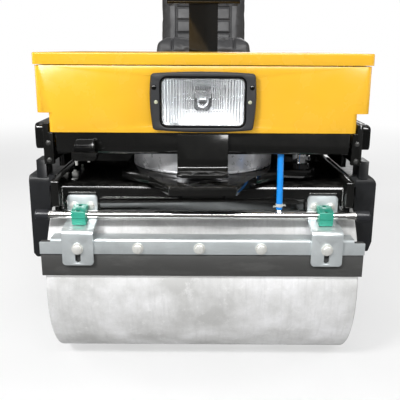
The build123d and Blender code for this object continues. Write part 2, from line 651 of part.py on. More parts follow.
def engine_cover():
    """Sheet hood over the engine, open below and hinged at the rear edge, with rows of
    cooling slots through its sides and back and the moving knuckles of the hinge."""
    half, w = COVER_HALF, COVER_WALL
    outer = block((-half, half), (COVER_FRONT, COVER_REAR), (COVER_LOW, COVER_TOP))
    outer = fillet(outer.edges().filter_by(Axis.Z), 20)
    outer = fillet(outer.edges().group_by(Axis.Z)[-1], 12)
    cover = outer - block((w - half, half - w), (COVER_FRONT + w, COVER_REAR - w), (DECK_TOP, COVER_TOP - w))
    slot = Pos(0, LOUVRE_Z) * Rectangle(LOUVRE_WIDTH, LOUVRE_HIGH)
    for place in range(LOUVRES):
        shift = LOUVRE_PITCH * (place - (LOUVRES - 1) / 2)
        cover -= along_x(Pos(LOUVRE_Y + shift, 0) * slot, (-half, half))
        cover -= along_y(Pos(shift, 0) * slot, (COVER_REAR - w, COVER_REAR))
    return cover + knuckles(COVER_HINGE, (-250, 190), (COVER_REAR - COVER_HINGE[0] - 2, 20))


def engine():
    """The engine as one block hung in the rear deck's opening on two mounting rails."""
    block_y = (ENGINE_FRONT, ENGINE_REAR)
    body = block((-ENGINE_HALF, ENGINE_HALF), block_y, (ENGINE_LOW, ENGINE_TOP))
    return body + block((-ENGINE_HALF - 30, ENGINE_HALF + 30), (300, 330), (DECK_TOP, DECK_TOP + 12)) \
        + block((-ENGINE_HALF - 30, ENGINE_HALF + 30), (390, 420), (DECK_TOP, DECK_TOP + 12))


SEAT_HALF = 205
SEAT_BASE = COVER_TOP + 8


def seat_pan():
    """Bent sheet shell under and behind the cushions."""
    return bent_x([(290, SEAT_BASE - 4), (716, SEAT_BASE - 4), (755, 940)], 8, 40, (-170, 170))


def seat_cushion():
    cushion = block((-SEAT_HALF, SEAT_HALF), (262, 636), (SEAT_BASE + 0.5, SEAT_BASE + 85))
    return fillet(cushion.edges(), 20)


def seat_back():
    back = along_x(closed([(640, 712), (707, 712), (750, 1000), (690, 1000)], 18), (-SEAT_HALF, SEAT_HALF))
    return back


def tank_tail():
    """Hose tail in the tank's front wall."""
    return rod_y(HOSE_X, (FRONT_Y - 92, FRONT_Y - 78), 638, 4)


def water_tank():
    """Moulded tank under the front hood, with its filler cap and the hose tail."""
    tank = block((-300, 300), (FRONT_Y - 80, HOOD_REAR - 20), (DECK_TOP, LID_LOW - 20))
    tank = fillet(tank.edges(), 20)
    tank += rod_z(-180, FRONT_Y + 60, (LID_LOW - 22, LID_LOW - 2), 45)
    return tank + tank_tail()


def tow_hitch():
    """Clevis of two ears on the rear member with a drop-pin bore."""
    rear = FRAME_REAR + 83
    ear = block((-30, 30), (FRAME_REAR + 8, rear), (DECK_LOW - 4, DECK_LOW + 8))
    ears = ear + Pos(0, 0, 37) * ear
    ears = fillet(ears.edges().filter_by(Axis.Z).group_by(Axis.Y)[-1], 25)
    ears += block((-45, 45), (FRAME_REAR, FRAME_REAR + 10), (DECK_LOW - 10, DECK_LOW + 52))
    return ears - rod_z(0, FRAME_REAR + 48, (DECK_LOW - 10, DECK_LOW + 49), 10)


def exhaust():
    """Silencer on a bracket beside the engine, its tail pipe led down through the deck."""
    can = rod_y(EXHAUST_X, (270, 450), EXHAUST_Z, 44)
    can = fillet(can.edges().filter_by(GeomType.CIRCLE), 8)
    can += rod_z(EXHAUST_X, TAIL_Y, (495, EXHAUST_Z - 20), TAIL_R)
    can += rod_x((EXHAUST_X + 30, -ENGINE_HALF), 300, EXHAUST_Z, TAIL_R)
    return can + block((EXHAUST_X - 30, EXHAUST_X + 30), (340, 350), (DECK_TOP, EXHAUST_Z - 20))


# ---- water hose ---------------------------------------------------------------------------
# its route from the spray pipe's nipple to the tank: (Y from the front axle, Z), all at HOSE_X
HOSE_ROUTE = [(-183, 402), (-183, 452), (-176, 508), (-172, 558), (-159, 597), (-131, 627), (-80, 640)]
HOSE_SPLIT = (518, 524)      # the yoke's stretch ends below, the frame's begins above
BEND_SHARE = 0.45


def hose():
    """Tube along the route: straight runs joined by the largest arcs that the runs allow."""
    points = [Vector(HOSE_X, FRONT_Y + y, z) for y, z in HOSE_ROUTE]
    runs = [b - a for a, b in zip(points, points[1:])]
    radii = [BEND_SHARE * min(a.length, b.length) / math.tan(math.radians(a.get_angle(b) / 2))
             for a, b in zip(runs, runs[1:])]
    path = FilletPolyline(*points, radius=radii)
    print("hose radii", [round(radius) for radius in radii], "length", round(path.length))
    return sweep(Plane(path @ 0, z_dir=path % 0) * Circle(HOSE_R), path=path)


def hose_lower():
    y = FRONT_Y + PIPE_Y
    below = block((100, 240), (y - 20, y + 60), (PIPE_Z, HOSE_SPLIT[0]))
    return (hose() & below) - rod_z(HOSE_X, y, (PIPE_Z, NIPPLE_TOP + 8), 4)


def hose_upper():
    y = FRONT_Y + PIPE_Y
    above = block((100, 240), (y - 20, FRONT_Y - 80), (HOSE_SPLIT[1], LID_LOW))
    return (hose() & above) - tank_tail()


NODES = {
    "side_plate_left": left_of(side_plate(3)),
    "side_plate_right": side_plate(11),
    "front_deck": front_deck(),
    "footwell": footwell(),
    "rear_deck": rear_deck(),
    "member_brackets": member_brackets(),
    "hose_bracket": hose_bracket(),
    "lock_bracket": lock_bracket(),
    "cylinder_bracket": cylinder_bracket(),
    "slewing_ring_outer": slewing_ring_outer(),
    "hood_body": hood_body(),
    "hood_lid": hood_lid(),
    "headlight_bezel": headlight_bezel(),
    "headlight_lens": headlight_lens(),
    "headlight_reflector": headlight_reflector(),
    "console": console(),
    "steering_column": steering_column(),
    "travel_lever": travel_lever(),
    "steering_wheel": steering_wheel(),
    "engine_cover": engine_cover(),
    "engine": engine(),
    "exhaust": exhaust(),
    "seat_pan": seat_pan(),
    "seat_cushion": seat_cushion(),
    "seat_back": seat_back(),
    "water_tank": water_tank(),
    "hose_upper": hose_upper(),
    "hose_lower": hose_lower(),
    "tow_hitch": tow_hitch(),
    "front_yoke": front_yoke(),
    "slewing_ring_inner": slewing_ring_inner(),
    "steering_barrel": steering_barrel(),
    "steering_rod": steering_rod(),
}
for end, axle in (("front", FRONT_Y), ("rear", REAR_Y)):
    NODES[f"{end}_drum"] = drum(axle)
    NODES[f"{end}_sprinkler_pipe"] = sprinkler_pipe(axle)
    NODES[f"{end}_pipe_caps"] = pipe_caps(axle)
    NODES[f"{end}_pipe_clamps"] = pipe_clamps(axle)
    NODES[f"{end}_scraper_brackets"] = scraper_brackets(axle)
    NODES[f"{end}_scraper_channel"] = scraper_channel(axle)
    NODES[f"{end}_scraper_blade"] = scraper_blade(axle)

os.makedirs("parts", exist_ok=True)
for node, shape in NODES.items():
    export_step(shape, f"parts/{node}.step")
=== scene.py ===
"""Looks of a small tandem road roller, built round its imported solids.

Metres, +Z up.  The machine faces -Y and stands on the ground; every piece is made where the
solids say and rides on the body that carries it.
"""

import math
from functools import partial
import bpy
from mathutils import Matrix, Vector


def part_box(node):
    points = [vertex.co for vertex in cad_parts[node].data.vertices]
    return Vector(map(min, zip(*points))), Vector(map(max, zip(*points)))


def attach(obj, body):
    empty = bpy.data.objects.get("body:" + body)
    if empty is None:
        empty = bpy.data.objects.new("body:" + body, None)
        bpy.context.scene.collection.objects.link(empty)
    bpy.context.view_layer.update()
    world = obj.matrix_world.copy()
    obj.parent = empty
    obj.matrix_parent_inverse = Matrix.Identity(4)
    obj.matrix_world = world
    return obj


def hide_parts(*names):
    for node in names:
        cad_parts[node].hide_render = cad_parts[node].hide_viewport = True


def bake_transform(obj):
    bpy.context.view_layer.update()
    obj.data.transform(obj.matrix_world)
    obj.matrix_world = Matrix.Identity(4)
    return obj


bl_info = {
    "name": "Tandem Road Roller",
    "version": (1, 0, 0),
    "blender": (4, 5, 0),
    "location": "3D View > Sidebar > Roller",
    "description": "Finishes, fasteners, headlamp, water hose, controls and seat of a road roller",
    "category": "Object",
}

import bmesh
import bpy
from bpy.props import FloatProperty, FloatVectorProperty, IntProperty, PointerProperty
from mathutils import Matrix, Vector

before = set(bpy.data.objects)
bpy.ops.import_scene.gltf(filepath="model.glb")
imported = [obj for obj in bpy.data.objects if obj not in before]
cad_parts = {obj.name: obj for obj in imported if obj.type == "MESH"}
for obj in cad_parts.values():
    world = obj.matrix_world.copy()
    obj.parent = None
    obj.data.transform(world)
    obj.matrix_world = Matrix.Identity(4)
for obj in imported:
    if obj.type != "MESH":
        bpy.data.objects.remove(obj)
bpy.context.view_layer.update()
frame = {"nodes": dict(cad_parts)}


def middle(node):
    """The middle of a node's box."""
    low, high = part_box(node)
    return (low + high) / 2


FRONT = middle("front_drum").y
REAR = middle("rear_drum").y
LAMP = middle("headlight_lens")
# end: (body that carries its scraper, its axle's place, its turn about the vertical)
ENDS = {"front": ("front_yoke", FRONT, 0.0), "rear": ("root", REAR, math.pi)}
SIDES = (-1, 1)
UP, DOWN = Vector((0, 0, 1)), Vector((0, 0, -1))
AHEAD, BACK = Vector((0, -1, 0)), Vector((0, 1, 0))
RIGHT = Vector((1, 0, 0))


# ---- what a user may change ----------------------------------------------------------------
def colour(name, description, rgb):
    """A colour in the panel."""
    return FloatVectorProperty(name=name, description=description, subtype="COLOR", size=3,
                               min=0.0, max=1.0, default=rgb)


def length(name, description, metres):
    """A length in the panel."""
    return FloatProperty(name=name, description=description, subtype="DISTANCE", unit="LENGTH",
                         min=0.0001, default=metres)


class RollerColours(bpy.types.PropertyGroup):
    """Colours of the roller's finishes."""
    hood: colour("Hood", "Enamel of the hood, its lid and the engine cover", (0.88, 0.480, 0.024))
    frame: colour("Frame", "Gloss enamel of the frame and the yoke", (0.0075, 0.0075, 0.0070))
    clamp: colour("Pipe clamp", "Moulded clamps of the spray pipes", (0.030, 0.36, 0.25))
    hose: colour("Hose", "Water hose", (0.004, 0.30, 0.92))
    vinyl: colour("Seat", "Seat vinyl", (0.022, 0.022, 0.024))


class RollerSizes(bpy.types.PropertyGroup):
    """Sizes of the pieces that dress the solids."""
    edge: length("Edge", "Width of the broken edges of the solids", 0.0009)
    bolt: length("Bolt", "Radius of the scraper bolts' hexagon heads", 0.0098)
    bead: length("Weld", "Radius of a weld bead", 0.0026)
    voxel: length("Voxel", "Mesh size of the cushions before the cloth is blown up", 0.006)
    tread: length("Tread", "Pitch of the chequer plate's lugs", 0.030)
    fins: IntProperty(name="Fins", description="Cooling fins on the engine", min=2, max=20, default=11)


# ---- materials -----------------------------------------------------------------------------
class Finish:
    """A Principled finish on Object coordinates, with short calls for the nodes that drive it."""

    def __init__(self, name, **sockets):
        self.material = bpy.data.materials.new(name)
        self.material.use_nodes = True
        self.tree = self.material.node_tree
        self.shader = self.tree.nodes["Principled BSDF"]
        for socket, value in sockets.items():
            self.shader.inputs[socket.replace("_", " ")].default_value = value
        self.place = self.tree.nodes.new("ShaderNodeTexCoord").outputs["Object"]

    def node(self, kind, inputs, **settings):
        """Adds a node; an input is a value or another node's output."""
        made = self.tree.nodes.new("ShaderNode" + kind)
        for setting, value in settings.items():
            setattr(made, setting, value)
        for key, value in inputs.items():
            if isinstance(value, bpy.types.NodeSocket):
                self.tree.links.new(value, made.inputs[key])
            else:
                made.inputs[key].default_value = value
        return made

    def noise(self, scale, detail=4.0, roughness=0.55, place=None):
        """Soft noise from 0 to 1, scale waves to the metre."""
        inputs = {"Vector": place or self.place, "Scale": scale, "Detail": detail,
                  "Roughness": roughness}
        return self.node("TexNoise", inputs).outputs["Fac"]

    def lines(self, waves, detail=2.0, roughness=0.5, shift=(0, 0, 0)):
        """Noise with its own number of waves on each axis, after a shift."""
        moved = self.node("VectorMath", {0: self.place, 1: shift}, operation="SUBTRACT").outputs[0]
        drawn = self.node("VectorMath", {0: moved, 1: waves}, operation="MULTIPLY").outputs[0]
        return self.noise(1.0, detail, roughness, drawn)

    def cells(self, scale):
        """Rounded cells, darkest at their middles."""
        return self.node("TexVoronoi", {"Vector": self.place, "Scale": scale}).outputs["Distance"]

    def ramp(self, value, *stops):
        """Colours or greys between the given (position, colour) stops."""
        made = self.node("ValToRGB", {"Fac": value})
        elements = made.color_ramp.elements
        while len(elements) < len(stops):
            elements.new(0.5)
        for element, (position, shade) in zip(elements, stops):
            element.position = position
            element.color = (*shade, 1.0) if hasattr(shade, "__len__") else (shade, shade, shade, 1.0)
        return made.outputs["Color"]

    def mix(self, share, low, high):
        """A colour between two, each a value or an output."""
        inputs = {0: share}
        for key, shade in ((6, low), (7, high)):
            inputs[key] = shade if isinstance(shade, bpy.types.NodeSocket) else (*shade, 1.0)
        return self.node("Mix", inputs, data_type="RGBA").outputs[2]

    def maths(self, operation, first, second=0.0):
        """One sum on a value or two."""
        return self.node("Math", {0: first, 1: second}, operation=operation).outputs[0]

    def within(self, point, radius):
        """1 inside a ball, else 0."""
        far = self.node("VectorMath", {0: self.place, 1: point}, operation="DISTANCE")
        return self.maths("LESS_THAN", far.outputs["Value"], radius)

    def upward(self):
        """How far a face looks up, from 0 to 1."""
        normal = self.node("NewGeometry", {}).outputs["Normal"]
        return self.maths("MAXIMUM", self.node("SeparateXYZ", {0: normal}).outputs[2])

    def wear(self, socket, output):
        """Lets a pattern drive one of the shader's sockets."""
        self.tree.links.new(output, self.shader.inputs[socket])

    def bump(self, height, strength, distance):
        """Raises the skin by a pattern."""
        made = self.node("Bump", {"Height": height, "Strength": strength, "Distance": distance})
        self.tree.links.new(made.outputs["Normal"], self.shader.inputs["Normal"])


def props():
    """What the panel holds."""
    return bpy.context.scene.roller


def chosen(name):
    """A colour as the panel has it."""
    return tuple(getattr(props().colours, name))


def tone(rgb, factor):
    """A colour made lighter or darker."""
    return tuple(min(1.0, part * factor) for part in rgb)


def enamel(name, rgb, roughness, dust, gloss):
    """Sprayed enamel: faint orange peel, cloudy gloss and a little dust on what looks up."""
    coat = Finish(name, Specular_IOR_Level=gloss)
    paint = coat.ramp(coat.noise(5.0), (0.3, tone(rgb, 0.95)), (0.7, tone(rgb, 1.03)))
    grit = coat.ramp(coat.noise(38.0, 6.0, 0.7), (0.42, 0.0), (0.75, dust))
    dusty = coat.maths("MULTIPLY", grit, coat.upward())
    coat.wear("Base Color", coat.mix(dusty, paint, (0.22, 0.21, 0.19)))
    coat.wear("Roughness", coat.ramp(coat.noise(16.0), (0.35, roughness[0]), (0.7, roughness[1])))
    coat.bump(coat.noise(330.0, 2.0), 0.05, 0.0004)
    return coat.material


def frame_black():
    return enamel("frame_black", chosen("frame"), roughness=(0.08, 0.15), dust=0.16, gloss=0.5)


def hood_yellow():
    return enamel("hood_yellow", chosen("hood"), roughness=(0.20, 0.32), dust=0.05, gloss=0.45)


ARM_INSIDE = 0.340      # how far from the middle the yoke's cast arms begin


def yoke_black():
    """Gloss enamel on the bridge, a duller coat on the cast arms at its ends."""
    coat = Finish("yoke_black", Specular_IOR_Level=0.55)
    rgb = chosen("frame")
    across = coat.node("SeparateXYZ", {0: coat.place}).outputs[0]
    arms = coat.maths("GREATER_THAN", coat.maths("ABSOLUTE", across), ARM_INSIDE)
    cloud = coat.ramp(coat.noise(9.0, 5.0, 0.6), (0.3, tone(rgb, 0.9)), (0.7, tone(rgb, 1.2)))
    cast = coat.ramp(coat.noise(14.0), (0.3, (0.011, 0.012, 0.014)), (0.7, (0.016, 0.017, 0.019)))
    grit = coat.ramp(coat.noise(45.0, 6.0, 0.7), (0.45, 0.0), (0.78, 0.35))
    dusty = coat.maths("MULTIPLY", grit, coat.upward())
    coat.wear("Base Color", coat.mix(dusty, coat.mix(arms, cloud, cast), (0.24, 0.23, 0.21)))
    gloss = coat.ramp(coat.noise(18.0), (0.35, 0.07), (0.7, 0.14))
    dull = coat.ramp(coat.noise(60.0, 3.0), (0.3, 0.30), (0.7, 0.42))
    coat.wear("Roughness", coat.mix(arms, gloss, dull))
    coat.bump(coat.noise(300.0, 3.0), 0.08, 0.0005)
    return coat.material


def turned_steel():
    """Machined race: a satin face with soft painted reflection bands round it and fine turning rings."""
    coat = Finish("turned_steel", Metallic=0.45)
    centred = coat.node("VectorMath", {0: coat.place, 1: (0, FRONT, 0)}, operation="SUBTRACT")
    turn = coat.node("TexGradient", {"Vector": centred.outputs[0]}, gradient_type="RADIAL")
    round_it = coat.node("CombineXYZ", {0: turn.outputs["Fac"]}).outputs[0]
    # painted reflection: soft light and dark bands round the race stand in for broad reflections
    painted_reflection_bands = coat.noise(34.0, 1.0, 0.4, round_it)
    coat.wear("Base Color", coat.ramp(painted_reflection_bands, (0.35, (0.84, 0.85, 0.87)), (0.62, (0.98, 0.98, 1.00))))
    coat.wear("Roughness", coat.ramp(coat.noise(60.0, 2.0), (0.3, 0.26), (0.7, 0.34)))
    coat.bump(coat.lines((3, 3, 2600)), 0.05, 0.0003)
    return coat.material


def rolled_steel():
    """Bare rolled steel: ground lines round the shell, grey blotches and a pale oxide bloom."""
    coat = Finish("rolled_steel", Metallic=0.30, Specular_IOR_Level=0.40)
    bare = coat.ramp(coat.noise(6.5, 8.0, 0.68), (0.36, (0.55, 0.55, 0.54)),
                     (0.50, (0.69, 0.69, 0.685)), (0.66, (0.84, 0.84, 0.85)))
    streak = coat.ramp(coat.lines((90, 9, 9), 5.0, 0.65), (0.50, 0.0), (0.80, 0.45))
    bloom = coat.ramp(coat.noise(46.0, 6.0, 0.72), (0.56, 0.0), (0.78, 0.60))
    marked = coat.mix(streak, bare, (0.50, 0.50, 0.495))
    coat.wear("Base Color", coat.mix(bloom, marked, (0.95, 0.95, 0.95)))
    coat.wear("Roughness", coat.ramp(coat.noise(13.0, 7.0, 0.68), (0.34, 0.36), (0.66, 0.62)))
    coat.bump(coat.lines((700, 20, 20), 3.0, 0.6), 0.10, 0.0004)
    return coat.material


def vinyl():
    """Grained vinyl: pebbled cells over a soft sheen, paler where it is rubbed."""
    coat = Finish("vinyl", Sheen_Weight=0.12, Specular_IOR_Level=0.42)
    rgb = chosen("vinyl")
    rubbed = coat.ramp(coat.noise(6.0, 5.0, 0.6), (0.4, tone(rgb, 0.9)), (0.75, tone(rgb, 1.7)))
    coat.wear("Base Color", rubbed)
    coat.wear("Roughness", coat.ramp(coat.noise(14.0), (0.3, 0.42), (0.7, 0.58)))
    coat.bump(coat.maths("MULTIPLY", coat.cells(520.0), coat.noise(210.0, 3.0)), 0.45, 0.0006)
    return coat.material


def hose_blue():
    """Extruded hose: clear-coated, a touch of draw lines along it."""
    coat = Finish("hose_blue", Coat_Weight=0.7, Coat_Roughness=0.05, Roughness=0.28)
    rgb = chosen("hose")
    cloud = coat.ramp(coat.noise(24.0, 3.0), (0.3, tone(rgb, 0.85)), (0.7, tone(rgb, 1.05)))
    coat.wear("Base Color", cloud)
    coat.bump(coat.lines((900, 900, 12)), 0.05, 0.0003)
    return coat.material


def lens_glass():
    """Pressed lamp glass with a faintly wavy skin."""
    coat = Finish("lens_glass", Transmission_Weight=1.0, IOR=1.48, Roughness=0.03)
    coat.wear("Base Color", coat.ramp(coat.noise(20.0), (0.3, (0.95, 0.97, 0.98)), (0.7, (1, 1, 1))))
    coat.bump(coat.noise(60.0, 2.0), 0.04, 0.001)
    return coat.material


def mirror():
    """Vacuum-plated bowl, painted cloudy and streaked with the reflections that the flutes in front of it
    draw.
    """
    coat = Finish("mirror", Metallic=0.60)
    # painted reflection: dark to white streaks and patches stand in for what the bowl reflects through the
    # flutes
    streak = coat.maths("MULTIPLY", coat.lines((150, 1, 9), 3.0, 0.6), 0.5)
    painted_flute_reflection_patch = coat.maths("MULTIPLY", coat.lines((38, 1, 16), shift=(0.02, 0, 0)), 0.5)
    coat.wear("Base Color", coat.ramp(coat.maths("ADD", streak, painted_flute_reflection_patch), (0.36, (0.34, 0.35, 0.36)),
                                      (0.47, (0.80, 0.81, 0.82)), (0.60, (1.0, 1.0, 1.0))))
    coat.wear("Roughness", coat.ramp(coat.noise(45.0), (0.3, 0.12), (0.7, 0.30)))
    return coat.material


def cast_metal():
    """Sand-cast metal under a thin grey coat."""
    coat = Finish("cast_metal", Metallic=0.55)
    grey = coat.ramp(coat.noise(9.0, 6.0), (0.3, (0.16, 0.165, 0.17)), (0.7, (0.30, 0.30, 0.31)))
    coat.wear("Base Color", grey)
    coat.wear("Roughness", coat.ramp(coat.noise(40.0), (0.3, 0.42), (0.7, 0.66)))
    coat.bump(coat.noise(260.0, 5.0, 0.7), 0.45, 0.0008)
    return coat.material


def hot_steel():
    """Steel browned and blued by heat."""
    coat = Finish("hot_steel", Metallic=0.9)
    heat = coat.ramp(coat.noise(6.0, 4.0, 0.6), (0.3, (0.10, 0.075, 0.06)),
                     (0.5, (0.30, 0.25, 0.21)), (0.7, (0.20, 0.19, 0.22)))
    coat.wear("Base Color", heat)
    coat.wear("Roughness", coat.ramp(coat.noise(35.0, 5.0), (0.3, 0.35), (0.7, 0.62)))
    coat.bump(coat.noise(200.0), 0.25, 0.0005)
    return coat.material


KNOB_RADIUS = 0.0195
KNOB_INSET = 0.018      # from the lever's highest and rearmost points to the middle of its knob


def knob_middle():
    """The middle of the lever's knob."""
    low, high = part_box("travel_lever")
    return Vector(((low.x + high.x) / 2, high.y - KNOB_INSET, high.z - KNOB_INSET))


def lever_finish():
    """Bright lever with a black ball knob."""
    coat = Finish("lever_finish")
    knob = coat.within(knob_middle(), KNOB_RADIUS)
    coat.wear("Base Color", coat.mix(knob, (0.80, 0.80, 0.81), (0.018, 0.018, 0.019)))
    coat.wear("Metallic", coat.maths("SUBTRACT", 1.0, knob))
    coat.wear("Roughness", coat.ramp(coat.noise(50.0, 3.0), (0.3, 0.14), (0.7, 0.26)))
    return coat.material


def metal(name, rgb, roughness, metallic, lines=(4, 60, 900), shades=(0.80, 1.12)):
    """Plated or rolled metal: cloudy tone, dull patches and faint rolling lines."""
    coat = Finish(name, Metallic=metallic)
    cloud = coat.ramp(coat.noise(11.0, 6.0, 0.62), (0.28, tone(rgb, shades[0])), (0.5, rgb),
                      (0.74, tone(rgb, shades[1])))
    coat.wear("Base Color", cloud)
    patches = coat.noise(28.0, 5.0, 0.65)
    coat.wear("Roughness", coat.ramp(patches, (0.3, roughness[0]), (0.7, roughness[1])))
    coat.bump(coat.lines(lines), 0.05, 0.0003)
    return coat.material


def rubber(name, rgb, roughness, scuff):
    """Rubber with a fine skin, scuffed pale in places."""
    coat = Finish(name, Specular_IOR_Level=0.35)
    worn = coat.ramp(coat.lines((9, 30, 30), 6.0, 0.68), (0.50, 0.0), (0.80, 0.5))
    coat.wear("Base Color", coat.mix(worn, rgb, scuff))
    coat.wear("Roughness", coat.ramp(coat.noise(30.0), (0.3, roughness[0]), (0.7, roughness[1])))
    coat.bump(coat.noise(420.0, 3.0), 0.15, 0.0005)
    return coat.material


def plastic(name, rgb, roughness, grain=520.0, depth=0.25):
    """Moulded plastic with its spark-eroded grain and a slightly uneven gloss."""
    coat = Finish(name, Specular_IOR_Level=0.45)
    cloud = coat.ramp(coat.noise(12.0, 3.0), (0.3, tone(rgb, 0.9)), (0.7, tone(rgb, 1.1)))
    coat.wear("Base Color", cloud)
    coat.wear("Roughness", coat.ramp(coat.noise(26.0), (0.3, roughness[0]), (0.7, roughness[1])))
    coat.bump(coat.noise(grain, 2.0), depth, 0.0004)
    return coat.material


def clamp_green():
    return plastic("clamp_green", chosen("clamp"), (0.30, 0.44), 300.0, 0.12)


# name: (colour, smoothest and roughest, metallic, waves of its lines on each axis, darkest and lightest)
METALS = {
    "zinc": ((0.69, 0.735, 0.745), (0.30, 0.46), 0.60),
    "bolt_zinc": ((0.84, 0.84, 0.80), (0.28, 0.38), 0.45, (4, 60, 900), (0.94, 1.05)),
    "weld_metal": ((0.17, 0.17, 0.165), (0.18, 0.30), 0.85),
    "stainless": ((0.86, 0.84, 0.81), (0.10, 0.20), 1.0, (2, 1400, 1400)),
    "chrome": ((0.88, 0.89, 0.90), (0.03, 0.08), 1.0, (500, 6, 6)),
}
# name: (colour, smoothest and roughest, colour of its scuffs)
RUBBERS = {
    "blade_rubber": ((0.050, 0.050, 0.048), (0.50, 0.68), (0.13, 0.13, 0.125)),
    "cap_rubber": ((0.020, 0.021, 0.025), (0.26, 0.42), (0.06, 0.06, 0.07)),
}
# name: (colour, smoothest and roughest, fineness of its grain, depth of the grain)
PLASTICS = {
    "lamp_grey": ((0.030, 0.031, 0.034), (0.36, 0.48)),
    "control_black": ((0.020, 0.020, 0.021), (0.38, 0.52)),
    "screw_black": ((0.0035, 0.0035, 0.0035), (0.16, 0.26)),
    "screw_cream": ((0.56, 0.58, 0.42), (0.30, 0.40)),
    "tank_white": ((0.70, 0.71, 0.66), (0.36, 0.50), 160.0, 0.10),
    "lamp_amber": ((0.85, 0.25, 0.01), (0.12, 0.2), 90.0, 0.05),
    "lamp_red": ((0.55, 0.008, 0.006), (0.12, 0.2), 90.0, 0.05),
    "dial_white": ((0.80, 0.80, 0.77), (0.4, 0.5), 90.0, 0.03),
}
FINISHES = {maker.__name__: maker for maker in (
    frame_black, hood_yellow, yoke_black, turned_steel, rolled_steel, vinyl, hose_blue, lens_glass,
    mirror, cast_metal, hot_steel, lever_finish, clamp_green)}
FINISHES |= {name: partial(maker, name, *row)
             for maker, table in ((metal, METALS), (rubber, RUBBERS), (plastic, PLASTICS))
             for name, row in table.items()}
MADE = {}


def finish(name):
    """The named finish, made once."""
    if name not in MADE:
        MADE[name] = FINISHES[name]()
    return MADE[name]


# node: (finish, share of the edge width that its edges are broken by)
NODE_FINISHES = {
    "side_plate_left": ("frame_black", 1.4), "side_plate_right": ("frame_black", 1.4),
    "front_deck": ("frame_black", 0.6), "footwell": ("frame_black", 0.6), "rear_deck": ("frame_black", 0.6),
    "member_brackets": ("frame_black", 1.0), "hose_bracket": ("frame_black", 0.8),
    "lock_bracket": ("frame_black", 0.8), "cylinder_bracket": ("frame_black", 0.8),
    "slewing_ring_outer": ("turned_steel", 0), "slewing_ring_inner": ("turned_steel", 0),
    "front_yoke": ("yoke_black", 1.2), "hood_body": ("hood_yellow", 1.0), "hood_lid": ("hood_yellow", 0.4),
    "headlight_bezel": ("lamp_grey", 0.8), "headlight_lens": ("lens_glass", 0),
    "headlight_reflector": ("mirror", 0), "console": ("frame_black", 0.8),
    "steering_column": ("control_black", 0.6), "travel_lever": ("lever_finish", 0.4),
    "steering_wheel": ("control_black", 0.6), "engine_cover": ("hood_yellow", 0.5),
    "engine": ("cast_metal", 2.0), "exhaust": ("hot_steel", 0.6), "seat_pan": ("frame_black", 0.8),
    "seat_cushion": ("vinyl", 0), "seat_back": ("vinyl", 0), "water_tank": ("tank_white", 0),
    "hose_upper": ("hose_blue", 0), "hose_lower": ("hose_blue", 0), "tow_hitch": ("frame_black", 0.8),
    "steering_barrel": ("frame_black", 0.6), "steering_rod": ("chrome", 0.4),
    "front_drum": ("rolled_steel", 0), "rear_drum": ("rolled_steel", 0),
}
END_FINISHES = {
    "sprinkler_pipe": ("stainless", 0), "pipe_caps": ("cap_rubber", 0.4),
    "pipe_clamps": ("clamp_green", 0.5), "scraper_brackets": ("zinc", 0.6),
    "scraper_channel": ("zinc", 0.5), "scraper_blade": ("blade_rubber", 1.0),
}


# ---- shapes --------------------------------------------------------------------------------
CREASE, HEX_CREASE = 0.7, 0.5       # edges that turn further than this, in radians, get rounded
DOUBLES = 1e-6                      # a turned piece's corners that are this near are one corner
WASHER_EDGE = 0.0003
# a bolt's sizes as shares of its radius
HEAD_HEIGHT, HEAD_EDGE, WASHER_HEIGHT, WASHER_REACH = 0.62, 0.07, 0.22, 1.3
CROWN_HEIGHT, CROWN_FOOT, CROWN_TOP = 0.09, 0.78, 0.62


def laid(point, direction=UP, turn=0.0):
    """Lays a shape drawn up its own +Z at a point, along a direction."""
    aim = Vector(direction).to_track_quat("Z", "Y").to_matrix().to_4x4()
    return Matrix.Translation(point) @ aim @ Matrix.Rotation(turn, 4, "Z")


def raised(place, height):
    """A place moved up its own +Z."""
    return place @ Matrix.Translation((0, 0, height))


def around(count, radius, first=0.0):
    """(angle, place in X and Y) of each of some spots on a circle, first of a step on."""
    for spot in range(count):
        angle = (spot + first) * math.tau / count
        yield angle, radius * math.cos(angle), radius * math.sin(angle)


def break_edges(shape, verts, width, sharp=CREASE, segments=2):
    """Rounds the sharp edges among some vertices."""
    among = set(verts)
    edges = [edge for edge in {edge for vert in among for edge in vert.link_edges}
             if set(edge.verts) <= among and len(edge.link_faces) == 2 and edge.calc_face_angle() > sharp]
    bmesh.ops.bevel(shape, geom=edges, offset=width, offset_type="OFFSET", affect="EDGES",
                    segments=segments, profile=0.5, clamp_overlap=True, material=-1)


def bar(shape, place, radius, height, sides=24, edge=0.0, top=None, sharp=CREASE):
    """A round or polygonal bar that stands on a place."""
    made = bmesh.ops.create_cone(shape, cap_ends=True, segments=sides, radius1=radius,
                                 radius2=radius if top is None else top, depth=height,
                                 matrix=raised(place, height / 2))
    if edge:
        break_edges(shape, made["verts"], edge, sharp)


def brick(shape, place, size, edge=0.0):
    """A box centred on a place."""
    made = bmesh.ops.create_cube(shape, size=1.0, matrix=place @ Matrix.Diagonal((*size, 1.0)))
    if edge:
        break_edges(shape, made["verts"], edge)
    return made["verts"]


def lathe(shape, place, profile, steps=32):
    """A turned piece from its (radius, height) profile; ends on the axis are closed."""
    verts = [shape.verts.new((radius, 0.0, height)) for radius, height in profile]
    edges = [shape.edges.new(two) for two in zip(verts, verts[1:])]
    before = set(shape.verts) - set(verts)
    bmesh.ops.spin(shape, geom=verts + edges, cent=(0, 0, 0), axis=(0, 0, 1), dvec=(0, 0, 0),
                   angle=math.tau, steps=steps, use_merge=True, use_duplicate=False)
    made = [vert for vert in shape.verts if vert not in before]
    bmesh.ops.remove_doubles(shape, verts=made, dist=DOUBLES)
    made = [vert for vert in shape.verts if vert not in before]
    faces = list({face for vert in made for face in vert.link_faces})
    bmesh.ops.recalc_face_normals(shape, faces=faces)
    bmesh.ops.transform(shape, matrix=place, verts=made)


